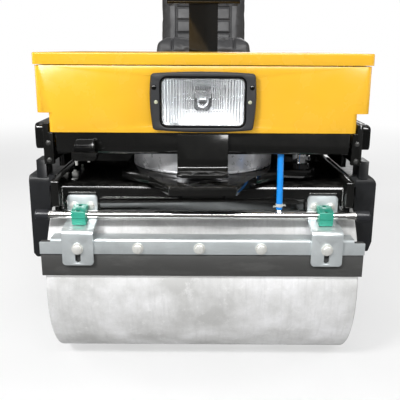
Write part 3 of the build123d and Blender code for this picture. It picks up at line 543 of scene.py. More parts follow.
def bolt(shape, place, radius, height=None, washer=WASHER_REACH):
    """Hexagon head on a washer, its corners turned off."""
    height = height or HEAD_HEIGHT * radius
    plate = WASHER_HEIGHT * radius
    if washer:
        bar(shape, place, radius * washer, plate, sides=28, edge=WASHER_EDGE)
    bar(shape, raised(place, plate * 0.9), radius, height, sides=6, edge=radius * HEAD_EDGE,
        sharp=HEX_CREASE)
    bar(shape, raised(place, height + plate * 0.6), radius * CROWN_FOOT, radius * CROWN_HEIGHT,
        top=radius * CROWN_TOP)


def draw_out(shape, faces, way):
    """Draws flat faces out into a solid and turns its faces outwards."""
    made = bmesh.ops.extrude_face_region(shape, geom=faces, use_keep_orig=True)
    verts = [part for part in made["geom"] if isinstance(part, bmesh.types.BMVert)]
    bmesh.ops.translate(shape, verts=verts, vec=way)
    bmesh.ops.recalc_face_normals(shape, faces=shape.faces[:])


def piece(name, shape, finish_name, body, smooth=40):
    """Makes a piece from a shape, shades it by angle and lets it ride on a body."""
    mesh = bpy.data.meshes.new(name)
    shape.to_mesh(mesh)
    shape.free()
    made = bpy.data.objects.new(name, mesh)
    bpy.context.scene.collection.objects.link(made)
    mesh.materials.append(finish(finish_name))
    mesh.shade_smooth()
    mesh.set_sharp_from_angle(angle=math.radians(smooth))
    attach(made, body)
    return made


# ---- operators -----------------------------------------------------------------------------
FACET_ANGLE = math.radians(32)      # a solid's faces that meet at less than this are shaded as one
TOUCHING = 1e-5                     # corners of a solid's triangles that are this near are one corner


class ROLLER_OT_finish_solids(bpy.types.Operator):
    """Gives every solid its finish and breaks its edges"""
    bl_idname = "roller.finish_solids"
    bl_label = "Finish Solids"

    def execute(self, context):
        finishes = dict(NODE_FINISHES)
        for end in ENDS:
            finishes.update({f"{end}_{part}": row for part, row in END_FINISHES.items()})
        for node, thing in frame["nodes"].items():
            name, share = finishes[node]
            thing.data.materials.clear()
            thing.data.materials.append(finish(name))
            thing.data.shade_smooth()
            weld = thing.modifiers.new("Joined", "WELD")
            weld.merge_threshold = TOUCHING
            if share:
                edge = thing.modifiers.new("Broken edges", "BEVEL")
                edge.width = share * props().sizes.edge
                edge.segments = 2
                edge.limit_method = "ANGLE"
                edge.angle_limit = FACET_ANGLE
                edge.harden_normals = True
                edge.use_clamp_overlap = True
            else:
                flat = thing.modifiers.new("Even faces", "WEIGHTED_NORMAL")
                flat.keep_sharp = True
                thing.data.set_sharp_from_angle(angle=FACET_ANGLE)
        return {"FINISHED"}


HOSE_X, HOSE_RADIUS, HOSE_LENGTH = 0.170, 0.007, 0.290
# (distance behind the front axle, height), as the solid's route
HOSE_ROUTE = ((-0.183, 0.402), (-0.183, 0.452), (-0.176, 0.508), (-0.172, 0.558), (-0.159, 0.597),
              (-0.131, 0.627), (-0.080, 0.640))
CLIP_RISE, CLIP_WALL, CLIP_WIDTH = 0.006, 0.0012, 0.007
# its tabs as (side, height), and how far they and their rolled ends stand out of the hose and ahead
TABS, TAB_SIZE, TAB_LEAN = ((-1, 0.001), (1, 0.004)), (0.006, 0.006, 0.0012), 0.5
TAB_OUT, TAB_AHEAD = 0.003, 0.002
ROLL_OUT, ROLL_AHEAD, ROLL_DROP, ROLL_RADIUS, ROLL_LENGTH = 0.0055, 0.005, 0.001, 0.0014, 0.006


class ROLLER_OT_water_hose(bpy.types.Operator):
    """Makes the blue water hose from the spray pipe's nipple up to the tank"""
    bl_idname = "roller.water_hose"
    bl_label = "Water Hose"

    def execute(self, context):
        points = [Vector((HOSE_X, FRONT + y, z)) for y, z in HOSE_ROUTE]
        line = bpy.data.curves.new("hose_line", "CURVE")
        line.dimensions = "3D"
        spline = line.splines.new("NURBS")
        spline.points.add(len(points) - 1)
        for control, point in zip(spline.points, points):
            control.co = (*point, 1.0)
        spline.order_u = 3
        spline.use_endpoint_u = True
        spline.resolution_u = 16
        drawn = bpy.data.objects.new("hose_line", line)
        context.scene.collection.objects.link(drawn)
        route = [vert.co.copy() for vert in bpy.data.meshes.new_from_object(drawn).vertices]
        line.bevel_depth = HOSE_RADIUS
        line.bevel_resolution = 7
        line.use_fill_caps = True
        context.view_layer.update()
        mesh = bpy.data.meshes.new_from_object(drawn)
        bpy.data.objects.remove(drawn)
        hose = bpy.data.objects.new("water_hose", mesh)
        context.scene.collection.objects.link(hose)
        mesh.materials.clear()
        mesh.materials.append(finish("hose_blue"))
        mesh.shade_smooth()
        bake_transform(hose)
        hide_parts("hose_lower", "hose_upper")
        clip = self.clip(points[0] + CLIP_RISE * UP)
        return {"FINISHED"}

    def clip(self, place):
        """Spring clip round the hose's lower end, with its two finger tabs."""
        outside = HOSE_RADIUS + CLIP_WALL
        shape = bmesh.new()
        lathe(shape, laid(place), [(HOSE_RADIUS, 0), (outside, 0), (outside, CLIP_WIDTH),
                                   (HOSE_RADIUS, CLIP_WIDTH), (HOSE_RADIUS, 0)])
        for side, lift in TABS:
            tab = place + Vector((side * (HOSE_RADIUS + TAB_OUT), -TAB_AHEAD, lift))
            brick(shape, laid(tab) @ Matrix.Rotation(side * TAB_LEAN, 4, "Y"), TAB_SIZE, edge=0.0004)
            roll = place + Vector((side * (HOSE_RADIUS + ROLL_OUT), -ROLL_AHEAD, lift - ROLL_DROP))
            bar(shape, laid(roll, BACK), ROLL_RADIUS, ROLL_LENGTH, sides=10)
        return piece("hose_clip", shape, "bolt_zinc", "front_yoke")


LENS_HALF, LENS_CORNER = (0.0882, 0.0512), 0.014
SEAL_GAP = 0.0018                   # from the glass to the surround's mouth
SEAL_PROUD, SEAL_WIDTH, SEAL_DEPTH = 0.0005, 0.0032, 0.0035
PANE, PANE_EDGE = 0.0030, 0.0016
# fields of flutes inside the glass, from its centre: (from x, to x, low z, high z, pitch)
FLUTE_FIELDS = (
    (-0.082, -0.046, -0.042, 0.046, 0.0060), (0.046, 0.082, -0.042, 0.046, 0.0060),
    (-0.044, -0.018, -0.014, 0.046, 0.0036), (0.018, 0.044, -0.014, 0.046, 0.0036),
    (-0.017, 0.017, 0.008, 0.046, 0.0024), (-0.044, 0.044, -0.042, -0.017, 0.0032),
)
FLUTE_WIDTH, FLUTE_DEPTH = 0.49, 0.8    # a flute's radius by its pitch, and how flat it is pressed
PRISMS, PRISM_PITCH, PRISM_RISE, PRISM_SIZE = 9, 0.0048, 0.026, (0.0020, 0.004, 0.013)
# name: (finish, distance from the centre line, height over the lamp's middle, radius)
LAMP_SCREWS = {
    "lamp_screws_black": ("screw_black", 0.101, 0.0305, 0.0052),
    "lamp_screws_pale": ("screw_cream", 0.097, 0.0005, 0.0040),
}
# a slotted head's profile as (share of its radius, height)
SCREW_HEAD = ((0, 0.0026), (0.3, 0.0026), (0.34, 0.0012), (0.42, 0.0026), (0.8, 0.0021), (1, 0.0008),
              (1, 0), (0, 0))
# turned parts of the bulb and its holder, as (radius, height)
HOLDER_RING = ((0, 0), (0.022, 0), (0.022, 0.004), (0.019, 0.007), (0.014, 0.007), (0.014, 0.010),
               (0, 0.010))
COLLAR = ((0.029, 0.002), (0.031, 0.002), (0.031, 0.008), (0.029, 0.009), (0.029, 0.002))
SHADE = ((0, 0.008), (0.006, 0.0075), (0.0105, 0.004), (0.012, 0), (0.011, 0), (0.009, 0.004), (0, 0.006))
CAPSULE = ((0, 0), (0.006, 0), (0.0065, 0.012), (0.005, 0.017), (0, 0.019))
BULB_SUNK, CAPSULE_REACH, SHADE_REACH = 0.004, 0.010, 0.030
STAY_X, STAY_AHEAD, STAY_RADIUS, STAY_LENGTH = 0.0115, 0.008, 0.0008, 0.024


def rounded_panel(shape, place, half_x, half_z, corner):
    """A rounded rectangle's face about a place, drawn in X and Z and looking ahead."""
    corners = [(-half_x, -half_z), (half_x, -half_z), (half_x, half_z), (-half_x, half_z)]
    verts = [shape.verts.new(place + Vector((x, 0, z))) for x, z in corners]
    shape.faces.new(verts)
    bmesh.ops.bevel(shape, geom=verts, offset=corner, offset_type="OFFSET", affect="VERTICES",
                    segments=6, profile=0.5, clamp_overlap=False, material=-1)
    return max(shape.faces, key=lambda face: face.calc_area())


class ROLLER_OT_headlamp(bpy.types.Operator):
    """Makes the headlamp's fluted glass, seal, bulb and screws"""
    bl_idname = "roller.headlamp"
    bl_label = "Headlamp"

    def execute(self, context):
        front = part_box("headlight_lens")[0].y
        self.glass(front)
        self.seal(front - SEAL_PROUD)
        self.bulb(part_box("headlight_reflector")[1].y - BULB_SUNK)
        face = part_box("headlight_bezel")[0].y
        for name, (finish_name, x, lift, radius) in LAMP_SCREWS.items():
            shape = bmesh.new()
            profile = [(radius * share, height) for share, height in SCREW_HEAD]
            for side in SIDES:
                lathe(shape, laid((side * x, face, LAMP.z + lift), AHEAD), profile, steps=24)
            piece(name, shape, finish_name, "root")
        return {"FINISHED"}

    def glass(self, front):
        """Pane with its edge turned off and fields of half-round flutes moulded on its inside."""
        shape = bmesh.new()
        pane = rounded_panel(shape, Vector((LAMP.x, front, LAMP.z)), *LENS_HALF, LENS_CORNER)
        draw_out(shape, [pane], PANE * BACK)
        break_edges(shape, [vert for vert in shape.verts if vert.co.y < front + PANE / 2], PANE_EDGE)
        inside = front + PANE
        for left, right, low, high, pitch in FLUTE_FIELDS:
            count = round((right - left) / pitch)
            for flute in range(count):
                x = LAMP.x + left + (flute + 0.5) * (right - left) / count
                foot = laid((x, inside, LAMP.z + low)) @ Matrix.Diagonal((1.0, FLUTE_DEPTH, 1.0, 1.0))
                bar(shape, foot, pitch * FLUTE_WIDTH, high - low, sides=8)
        for prism in range(PRISMS):
            x = LAMP.x + (prism - (PRISMS - 1) / 2) * PRISM_PITCH
            brick(shape, laid((x, inside, LAMP.z + PRISM_RISE)), PRISM_SIZE, edge=0.0004)
        made = piece("headlamp_glass", shape, "lens_glass", "root", smooth=50)
        made.visible_shadow = False
        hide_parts("headlight_lens")

    def seal(self, front):
        """Rubber frame between the glass and its surround."""
        shape = bmesh.new()
        half_x, half_z = LENS_HALF
        face = rounded_panel(shape, Vector((LAMP.x, front, LAMP.z)), half_x + SEAL_GAP,
                             half_z + SEAL_GAP, LENS_CORNER + SEAL_GAP)
        bmesh.ops.inset_region(shape, faces=[face], thickness=SEAL_WIDTH, use_boundary=True,
                               use_even_offset=True)
        bmesh.ops.delete(shape, geom=[face], context="FACES_ONLY")
        draw_out(shape, shape.faces[:], SEAL_DEPTH * BACK)
        piece("headlamp_seal", shape, "screw_black", "root")

    def bulb(self, back):
        """Holder rings, glass capsule and the shade in front of it on its two stays."""
        foot = Vector((LAMP.x, back, LAMP.z))
        holder, capsule = bmesh.new(), bmesh.new()
        lathe(holder, laid(foot, AHEAD), HOLDER_RING)
        lathe(holder, laid(foot + SHADE_REACH * AHEAD, AHEAD), SHADE)
        lathe(holder, laid(foot, AHEAD), COLLAR, steps=48)
        for side in SIDES:
            stay = foot + Vector((side * STAY_X, -STAY_AHEAD, 0))
            bar(holder, laid(stay, AHEAD), STAY_RADIUS, STAY_LENGTH, sides=8)
        lathe(capsule, laid(foot + CAPSULE_REACH * AHEAD, AHEAD), CAPSULE, steps=20)
        piece("headlamp_bulb_holder", holder, "chrome", "root")
        piece("headlamp_bulb", capsule, "lens_glass", "root")


# faces and heights about an end's axle
PIPE_Y, PIPE_Z = -0.183, 0.387
BRACKET_FACE, SHELF_FACE, SCRAPER_FACE = -0.156, -0.228, -0.222
BRACKET_BOLT_Z, SCRAPER_BOLT_Z = 0.401, 0.322
CLAMP_X, CLAMP_TILT = 0.272, math.radians(10)
BRACKET_BOLT_HALF, CLAMP_SCREW_HALF, CLAMP_SCREW_RISE = 0.0185, 0.014, 0.010
BRACKET_BOLT_SHARE = 0.74           # the bracket bolts' radius by the scraper bolts'
CHANNEL_BOLTS = (-0.141, -0.006, 0.129)
CHANNEL_TURN, SHELF_TURN, FRAME_TURN = 0.4, 0.2, 0.3     # how the bolts' heads came to stand
CLAMP_SCREW = ((0, 0.002), (0.002, 0.002), (0.0022, 0.0045), (0.0042, 0.0045), (0.0046, 0.004),
               (0.0046, 0), (0, 0))


class ROLLER_OT_scraper_bolts(bpy.types.Operator):
    """Makes the bolts of the scrapers, their brackets and the pipe clamps"""
    bl_idname = "roller.scraper_bolts"
    bl_label = "Scraper Bolts"

    def execute(self, context):
        size = props().sizes.bolt
        for end, (body, axle, turn) in ENDS.items():
            about = Matrix.Translation((0, axle, 0)) @ Matrix.Rotation(turn, 4, "Z")
            shape, dark = bmesh.new(), bmesh.new()
            for number, x in enumerate(CHANNEL_BOLTS):
                spot = laid((x, SCRAPER_FACE, SCRAPER_BOLT_Z), AHEAD, CHANNEL_TURN + number)
                bolt(shape, about @ spot, size)
            for side in SIDES:
                x = side * CLAMP_X
                spot = laid((x, SHELF_FACE, SCRAPER_BOLT_Z), AHEAD, SHELF_TURN * side)
                bolt(shape, about @ spot, size)
                tilt = Matrix.Translation((x, PIPE_Y, PIPE_Z)) @ Matrix.Rotation(CLAMP_TILT, 4, "X")
                for step in SIDES:
                    spot = (x + step * BRACKET_BOLT_HALF, BRACKET_FACE, BRACKET_BOLT_Z)
                    bolt(shape, about @ laid(spot, AHEAD, step + side), size * BRACKET_BOLT_SHARE)
                    head = Matrix.Translation((0, step * CLAMP_SCREW_HALF, CLAMP_SCREW_RISE))
                    lathe(dark, about @ tilt @ head, CLAMP_SCREW, steps=18)
            piece(f"{end}_scraper_bolts", shape, "bolt_zinc", body)
            piece(f"{end}_clamp_screws", dark, "cap_rubber", body)
        return {"FINISHED"}


# run of a weld bead on the front yoke, from the front axle: (from, to)
YOKE_WELDS = (
    ((-0.225, -0.1505, 0.419), (-0.058, -0.1505, 0.419)),
    ((-0.302, -0.1505, 0.430), (-0.242, -0.1505, 0.430)),
    ((0.242, -0.1505, 0.430), (0.302, -0.1505, 0.430)),
    ((-0.317, -0.151, 0.392), (-0.317, -0.151, 0.440)),
    ((0.317, -0.151, 0.392), (0.317, -0.151, 0.440)),
    ((-0.0545, -0.153, 0.4555), (-0.0545, -0.204, 0.4555)),
    ((0.0545, -0.153, 0.4555), (0.0545, -0.204, 0.4555)),
    ((-0.335, -0.118, 0.4635), (-0.335, 0.118, 0.4635)),
    ((0.335, -0.118, 0.4635), (0.335, 0.118, 0.4635)),
)
# the same on the frame, from the ground under its middle
FRAME_WELDS = (
    ((-0.358, 0.216, 0.534), (0.358, 0.216, 0.534)),
    ((-0.358, -0.218, 0.534), (0.358, -0.218, 0.534)),
    ((-0.150, 0.499, 0.4485), (0.150, 0.499, 0.4485)),
    ((-0.150, 0.741, 0.4485), (0.150, 0.741, 0.4485)),
)
RIPPLE_STEP, RIPPLE_HEIGHT = 1.05, 0.8      # by the bead's radius
WOBBLES = ((0.12, 2.4), (0.08, 5.3))        # (share of the radius, how fast it changes)


def weld_bead(shape, start, stop, radius):
    """Overlapping ripples from one point to another."""
    run = stop - start
    count = max(2, round(run.length / (radius * RIPPLE_STEP)))
    for ripple in range(count + 1):
        wobble = 1.0 + sum(share * math.sin(ripple * rate) for share, rate in WOBBLES)
        swell = Matrix.Diagonal((wobble, wobble, RIPPLE_HEIGHT, 1.0))
        bmesh.ops.create_icosphere(shape, subdivisions=1, radius=radius,
                                   matrix=laid(start + run * (ripple / count), run) @ swell)


class ROLLER_OT_weld_beads(bpy.types.Operator):
    """Runs the weld beads of the yoke and the frame"""
    bl_idname = "roller.weld_beads"
    bl_label = "Weld Beads"

    def execute(self, context):
        radius = props().sizes.bead
        for name, body, shift, runs in (("yoke_weld_beads", "front_yoke", FRONT, YOKE_WELDS),
                                        ("frame_weld_beads", "root", 0.0, FRAME_WELDS)):
            shape = bmesh.new()
            step = Vector((0, shift, 0))
            for start, stop in runs:
                weld_bead(shape, Vector(start) + step, Vector(stop) + step, radius)
            piece(name, shape, "weld_metal", body, smooth=80)
        return {"FINISHED"}


# bolts on the fixed frame, from the front axle: (place, direction, radius)
FRAME_BOLTS = (
    [((side * 0.330, -0.193, z), AHEAD, 0.0042) for side in SIDES for z in (0.549, 0.512)]
    + [((side * 0.325, y, 0.534), UP, 0.007) for side in SIDES for y in (0.02, 0.20)]
)
# the hose clamp: its shelf, its studs as (x, length), and its ribbed saddle
SHELF_DEPTH, SHELF_HEIGHT = 0.014, 0.017
STUDS, STUD_RADIUS, STUD_NUT = ((-0.268, 0.012), (-0.242, 0.005)), 0.0026, (0.0042, 0.0030)
RIBS, RIB_SIZE, RIB_RISE, RIB_INSET = 9, (0.0028, 0.009, 0.014), 0.008, 0.006
SADDLE_DEPTH, SADDLE_RISE, SADDLE_SECTION = 0.011, 0.006, (0.006, 0.010)
# what stands on the yoke's bridge
BEAM_TOP, BEAM_FITTING_X = 0.448, -0.3045
BLOCK_Y, BLOCK_SIZE, BLOCK_STUB = -0.063, (0.015, 0.014, 0.012), (0.0042, 0.004)
NIPPLE_Y = 0.019
NIPPLE = ((0, 0), (0.0048, 0), (0.0048, 0.004), (0.0028, 0.0052), (0.0028, 0.0085), (0.0036, 0.0105),
          (0.0030, 0.0130), (0, 0.0140))
CAP_PROUD = 0.006                   # how far the bearing cap stands past the shaft
CAP_BOLTS, CAP_CIRCLE, CAP_BOLT, CAP_HEAD, CAP_WASHER = 6, 0.040, 0.0055, 0.0036, 1.25
# the steering cylinder's pin from the front axle, and its ports' reach along the barrel and out of it
PIN = Vector((0.210, 0.250, 0.500))
PORTS, PORT_SIDE = (0.052, 0.206), 0.024
UNION, UNION_PLUG = (0.0085, 0.008), (0.0065, 0.006)


class ROLLER_OT_frame_fasteners(bpy.types.Operator):
    """Makes the bolts and fittings of the frame and the yoke"""
    bl_idname = "roller.frame_fasteners"
    bl_label = "Frame Fasteners"

    def execute(self, context):
        shape = bmesh.new()
        for place, way, radius in FRAME_BOLTS:
            bolt(shape, laid(Vector(place) + Vector((0, FRONT, 0)), way, FRAME_TURN), radius)
        piece("frame_bolts", shape, "weld_metal", "root")
        self.hose_clamp()
        self.beam_fittings()
        self.cap_bolts()
        self.cylinder_unions()
        return {"FINISHED"}

    def hose_clamp(self):
        """Ribbed saddle on the clamp block's shelf, and the two studs that hang below it."""
        low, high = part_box("hose_bracket")
        studs, saddle = bmesh.new(), bmesh.new()
        for x, length_below in STUDS:
            spot = (x, low.y + SHELF_DEPTH, low.z)
            bar(studs, laid(spot, DOWN), STUD_RADIUS, length_below, sides=14, edge=0.0005)
            bar(studs, laid(spot, DOWN, x), *STUD_NUT, sides=6, edge=0.0004, sharp=HEX_CREASE)
        foot = Vector((low.x + RIB_INSET, low.y + SADDLE_DEPTH, low.z + SHELF_HEIGHT))
        width = high.x - low.x
        for rib in range(RIBS):
            step = Vector((rib * (width - 2 * RIB_INSET) / (RIBS - 1), 0, RIB_RISE))
            brick(saddle, laid(foot + step), RIB_SIZE, edge=0.0007)
        core = (middle("hose_bracket").x, foot.y, foot.z + SADDLE_RISE)
        brick(saddle, laid(core), (width - RIB_INSET, *SADDLE_SECTION), edge=0.001)
        piece("hose_clamp_studs", studs, "bolt_zinc", "root")
        piece("hose_clamp_saddle", saddle, "screw_black", "root")

    def beam_fittings(self):
        """Test block and grease nipple on the yoke's bridge."""
        shape = bmesh.new()
        foot = laid((BEAM_FITTING_X, FRONT + BLOCK_Y, BEAM_TOP))
        height = BLOCK_SIZE[2]
        brick(shape, raised(foot, height / 2), BLOCK_SIZE, edge=0.0016)
        bar(shape, raised(foot, height), *BLOCK_STUB, sides=16, edge=0.0008)
        lathe(shape, laid((BEAM_FITTING_X, FRONT + NIPPLE_Y, BEAM_TOP)), NIPPLE, steps=18)
        piece("beam_fittings", shape, "bolt_zinc", "front_yoke")

    def cap_bolts(self):
        """Bolts of the bearing caps in the arms."""
        for end, (body, axle, _) in ENDS.items():
            shape = bmesh.new()
            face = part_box(f"{end}_drum")[1].x + CAP_PROUD
            height = middle("front_drum").z
            for side in SIDES:
                for angle, along, up in around(CAP_BOLTS, CAP_CIRCLE, 0.5):
                    spot = (side * face, axle + along, height + up)
                    bolt(shape, laid(spot, side * RIGHT, angle), CAP_BOLT, CAP_HEAD, CAP_WASHER)
            piece(f"{end}_cap_bolts", shape, "bolt_zinc", body)

    def cylinder_unions(self):
        """Plugged unions in the steering cylinder's ports."""
        pin = PIN + Vector((0, FRONT, 0))
        aim = middle("steering_rod") - pin
        aim.z = 0
        aim.normalize()
        across = Vector((-aim.y, aim.x, 0))
        shape = bmesh.new()
        for reach in PORTS:
            port = laid(pin + aim * reach + across * PORT_SIDE, across)
            bar(shape, port, *UNION, sides=6, edge=0.0006, sharp=HEX_CREASE)
            bar(shape, raised(port, UNION[1]), *UNION_PLUG, sides=20, edge=0.001)
        piece("cylinder_unions", shape, "cap_rubber", "cylinder_barrel")


# the drum's inside, as distances from its middle
DRUM_HEAD, CARRIER, HUB_FACE = 0.295, 0.337, 0.3455
BUFFERS, BUFFER_CIRCLE = 6, 0.118
BUFFER = ((0.0242, 0), (0.029, 0.002), (0.0265, 0.008), (0.0255, 0.017), (0.0265, 0.026),
          (0.029, 0.032), (0.0242, 0.034), (0.0242, 0))
BUFFER_BOLT = (0.0085, 0.005)
HUB_BOLTS, HUB_CIRCLE, HUB_BOLT = 8, 0.046, (0.0048, 0.0035)


class ROLLER_OT_drum_mounts(bpy.types.Operator):
    """Makes the rubber buffers and the bolts inside both drums' ends"""
    bl_idname = "roller.drum_mounts"
    bl_label = "Drum Mounts"

    def execute(self, context):
        for end in ENDS:
            drum = f"{end}_drum"
            centre = middle(drum)
            buffers, bolts = bmesh.new(), bmesh.new()
            for side in SIDES:
                way = side * RIGHT
                for angle, along, up in around(BUFFERS, BUFFER_CIRCLE, 0.5):
                    spot = centre + Vector((0, along, up))
                    lathe(buffers, laid(spot + way * DRUM_HEAD, way), BUFFER, steps=28)
                    bolt(bolts, laid(spot + way * CARRIER, way, angle), *BUFFER_BOLT)
                for angle, along, up in around(HUB_BOLTS, HUB_CIRCLE):
                    spot = centre + Vector((0, along, up)) + way * HUB_FACE
                    bolt(bolts, laid(spot, way, angle), *HUB_BOLT, washer=0)
            piece(f"{end}_drum_buffers", buffers, "cap_rubber", drum)
            piece(f"{end}_drum_bolts", bolts, "bolt_zinc", drum)
        return {"FINISHED"}


SWELL_CAP = 0.016                   # how far the blown cloth may leave its case
CLOTH_FRAMES = 20
CLOTH = {"use_pressure": True, "uniform_pressure_force": 4.0, "tension_stiffness": 30.0,
         "compression_stiffness": 30.0, "shear_stiffness": 20.0, "bending_stiffness": 2.0}
SEAM_X, SEAM_DEPTH, SEAM_WIDTH = 0.120, 0.0075, 0.0035
CUSHION_INSET, CUSHION_SUNK = Vector((0.012, 0.012, 0.010)), 0.002
CUSHION_TOP = 0.95                  # the cushion's top by its foot
CUSHION_EDGE, BACK_EDGE = 0.018, 0.016
CUSHION_SEAMS, SEAMS_FROM_FRONT, SEAMS_FROM_BACK = 5, 0.055, 0.045
BACK_INSET = 0.012
# the back cushion's case from the side, as (y, z), its cross seams and the slope between its faces
BACK_OUTLINE = ((0.650, 0.722), (0.699, 0.722), (0.741, 0.992), (0.697, 0.992))
BACK_SEAMS = (0.760, 0.815, 0.870, 0.925)
BACK_MIDDLE, BACK_FOOT, BACK_SLOPE = 0.672, 0.722, 0.16


def settle(thing):
    """Applies a piece's modifiers to its mesh."""
    bpy.context.view_layer.update()
    graph = bpy.context.evaluated_depsgraph_get()
    done = bpy.data.meshes.new_from_object(thing.evaluated_get(graph))
    thing.modifiers.clear()
    thing.data = done


def blown_cushion(name, shape):
    """A cushion's case, remeshed, blown up as cloth and smoothed."""
    mesh = bpy.data.meshes.new(name)
    shape.to_mesh(mesh)
    shape.free()
    case = bpy.data.objects.new(name, mesh)
    scene = bpy.context.scene
    scene.collection.objects.link(case)
    remesh = case.modifiers.new("Even mesh", "REMESH")
    remesh.mode = "VOXEL"
    remesh.voxel_size = props().sizes.voxel
    settle(case)
    rest = [vert.co.copy() for vert in case.data.vertices]
    cloth = case.modifiers.new("Cloth", "CLOTH")
    for setting, value in CLOTH.items():
        setattr(cloth.settings, setting, value)
    cloth.settings.effector_weights.gravity = 0.0
    for step in range(1, CLOTH_FRAMES + 1):
        scene.frame_set(step)
    settle(case)
    scene.frame_set(1)
    for vert, before in zip(case.data.vertices, rest):
        move = vert.co - before
        if move.length > SWELL_CAP:
            vert.co = before + move.normalized() * SWELL_CAP
    smooth = case.modifiers.new("Smooth", "SUBSURF")
    smooth.levels = 1
    smooth.render_levels = 1
    settle(case)
    return case


def sew(case, axis, crossings, is_sewn):
    """Presses sewn channels into a cushion where a point is sewn.

    Two channels run along it, and the crossings, which are places on an axis, join them.
    """
    normals = [vert.normal.copy() for vert in case.data.vertices]
    for vert, normal in zip(case.data.vertices, normals):
        out = abs(vert.co.x)
        cross = min(abs(vert.co[axis] - crossing) for crossing in crossings)
        near = min(abs(out - SEAM_X), cross + max(0.0, out - SEAM_X))
        if near < 4 * SEAM_WIDTH and is_sewn(vert.co):
            vert.co -= normal * SEAM_DEPTH * math.exp(-(near / SEAM_WIDTH) ** 2)


class ROLLER_OT_seat(bpy.types.Operator):
    """Makes the seat's two cushions from blown-up cloth, with sewn channels"""
    bl_idname = "roller.seat"
    bl_label = "Seat"

    def execute(self, context):
        self.cover(self.cushion(), "seat_cushion")
        self.cover(self.back(), "seat_back")
        return {"FINISHED"}

    def cover(self, case, node):
        """Covers a sewn case and lets it stand for its solid."""
        case.data.materials.clear()
        case.data.materials.append(finish("vinyl"))
        case.data.shade_smooth()
        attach(case, "engine_hood")
        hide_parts(node)

    def cushion(self):
        """Seat cushion, narrower at its top."""
        low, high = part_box("seat_cushion")
        centre = (low + high) / 2
        shape = bmesh.new()
        for vert in brick(shape, laid(centre - CUSHION_SUNK * UP), high - low - 2 * CUSHION_INSET):
            if vert.co.z > centre.z:
                vert.co.x *= CUSHION_TOP
                vert.co.y = centre.y + (vert.co.y - centre.y) * CUSHION_TOP
        break_edges(shape, shape.verts[:], CUSHION_EDGE, segments=4)
        case = blown_cushion("seat_cushion_vinyl", shape)
        first, last = low.y + SEAMS_FROM_FRONT, high.y - SEAMS_FROM_BACK
        step = (last - first) / (CUSHION_SEAMS - 1)
        crossings = [first + number * step for number in range(CUSHION_SEAMS)]
        sew(case, 1, crossings, lambda at: at.z > centre.z)
        return case

    def back(self):
        """Back cushion, leaning as its solid does."""
        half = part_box("seat_back")[1].x - BACK_INSET
        shape = bmesh.new()
        face = shape.faces.new([shape.verts.new((-half, y, z)) for y, z in BACK_OUTLINE])
        draw_out(shape, [face], 2 * half * RIGHT)
        break_edges(shape, shape.verts[:], BACK_EDGE, segments=4)
        case = blown_cushion("seat_back_vinyl", shape)
        sew(case, 2, BACK_SEAMS, lambda at: at.y < (at.z - BACK_FOOT) * BACK_SLOPE + BACK_MIDDLE)
        return case


# the dash's sloping panel: its lower rear and upper front edges
PANEL_LOW, PANEL_HIGH = Vector((0, -0.167, 0.892)), Vector((0, -0.255, 0.948))
DIAL_SHARE, DIAL_FACE, DIAL_FACE_LIFT = 0.45, (0.0245, 0.002), 0.0005
DIAL_RIM = ((0.024, 0), (0.0285, 0), (0.0285, 0.006), (0.027, 0.008), (0.025, 0.008), (0.024, 0.006),
            (0.024, 0))
TICKS, TICK_START, TICK_STEP, TICK_LIFT = 13, 225.0, 22.5, 0.0028
LONG_TICK, SHORT_TICK = (0.0195, (0.005, 0.0011, 0.0004)), (0.0205, (0.003, 0.0007, 0.0004))
NEEDLE_ANGLE, NEEDLE_REACH, NEEDLE_LIFT, NEEDLE_SIZE = 205.0, 0.007, 0.0036, (0.021, 0.0012, 0.0006)
NEEDLE_HUB, NEEDLE_HUB_LIFT = (0.003, 0.0022), 0.0024
# (x, share of the way up the panel, finish) of each warning lamp
WARNING_LAMPS = ((-0.042, 0.82, "lamp_red"), (-0.014, 0.86, "lamp_amber"), (0.014, 0.86, "lamp_red"),
                 (0.042, 0.82, "lamp_amber"))
LAMP_SOCKET = ((0, 0), (0.0065, 0), (0.0065, 0.0015), (0.0050, 0.0020), (0, 0.0020))
LAMP_LENS = ((0.0045, 0.001), (0.0045, 0.0028), (0.003, 0.0042), (0, 0.0048))
SWITCHES, SWITCH_SHARE, SWITCH_SIZE = (-0.062, -0.088), 0.42, (0.020, 0.034, 0.003)
ROCKER_SIZE, ROCKER_LIFT, ROCKER_TILT = (0.015, 0.028, 0.006), 0.004, 0.16
KEY_X, KEY_LIFT, KEY_SIZE, KEY_GRIP_LIFT = 0.062, 0.018, (0.0022, 0.009, 0.026), 0.024
KEY_BARREL = ((0, 0), (0.0145, 0), (0.0145, 0.003), (0.012, 0.005), (0.008, 0.006), (0, 0.006))
KEY_GRIP = ((0, -0.0025), (0.011, -0.0025), (0.012, 0), (0.011, 0.0025), (0, 0.0025))
# the bellows over the lever's foot: each fold's ridge and valley, and how the next ones shrink
BOOT_Y, BOOT_Z, FOLDS, FOLD_STEP = 0.016, 0.906, 4, 0.009
RIDGE, RIDGE_SHRINK, VALLEY, VALLEY_SHRINK = (0.021, 0.006), 0.0035, (0.015, 0.0105), 0.0025
BOOT_FOOT, BOOT_NECK, BOOT_HEIGHT = 0.022, 0.0065, 0.044
WHEEL_TILT, HUB_CAP_LIFT = math.radians(25), 0.0125
HUB_CAP = ((0, 0), (0.030, 0), (0.030, 0.004), (0.026, 0.008), (0.017, 0.0105), (0, 0.0115))


def on_panel(x, share):
    """A place on the dash's panel, share of the way up, laid square to it."""
    run = PANEL_HIGH - PANEL_LOW
    return laid(PANEL_LOW + run * share + x * RIGHT, run.cross(RIGHT).normalized())


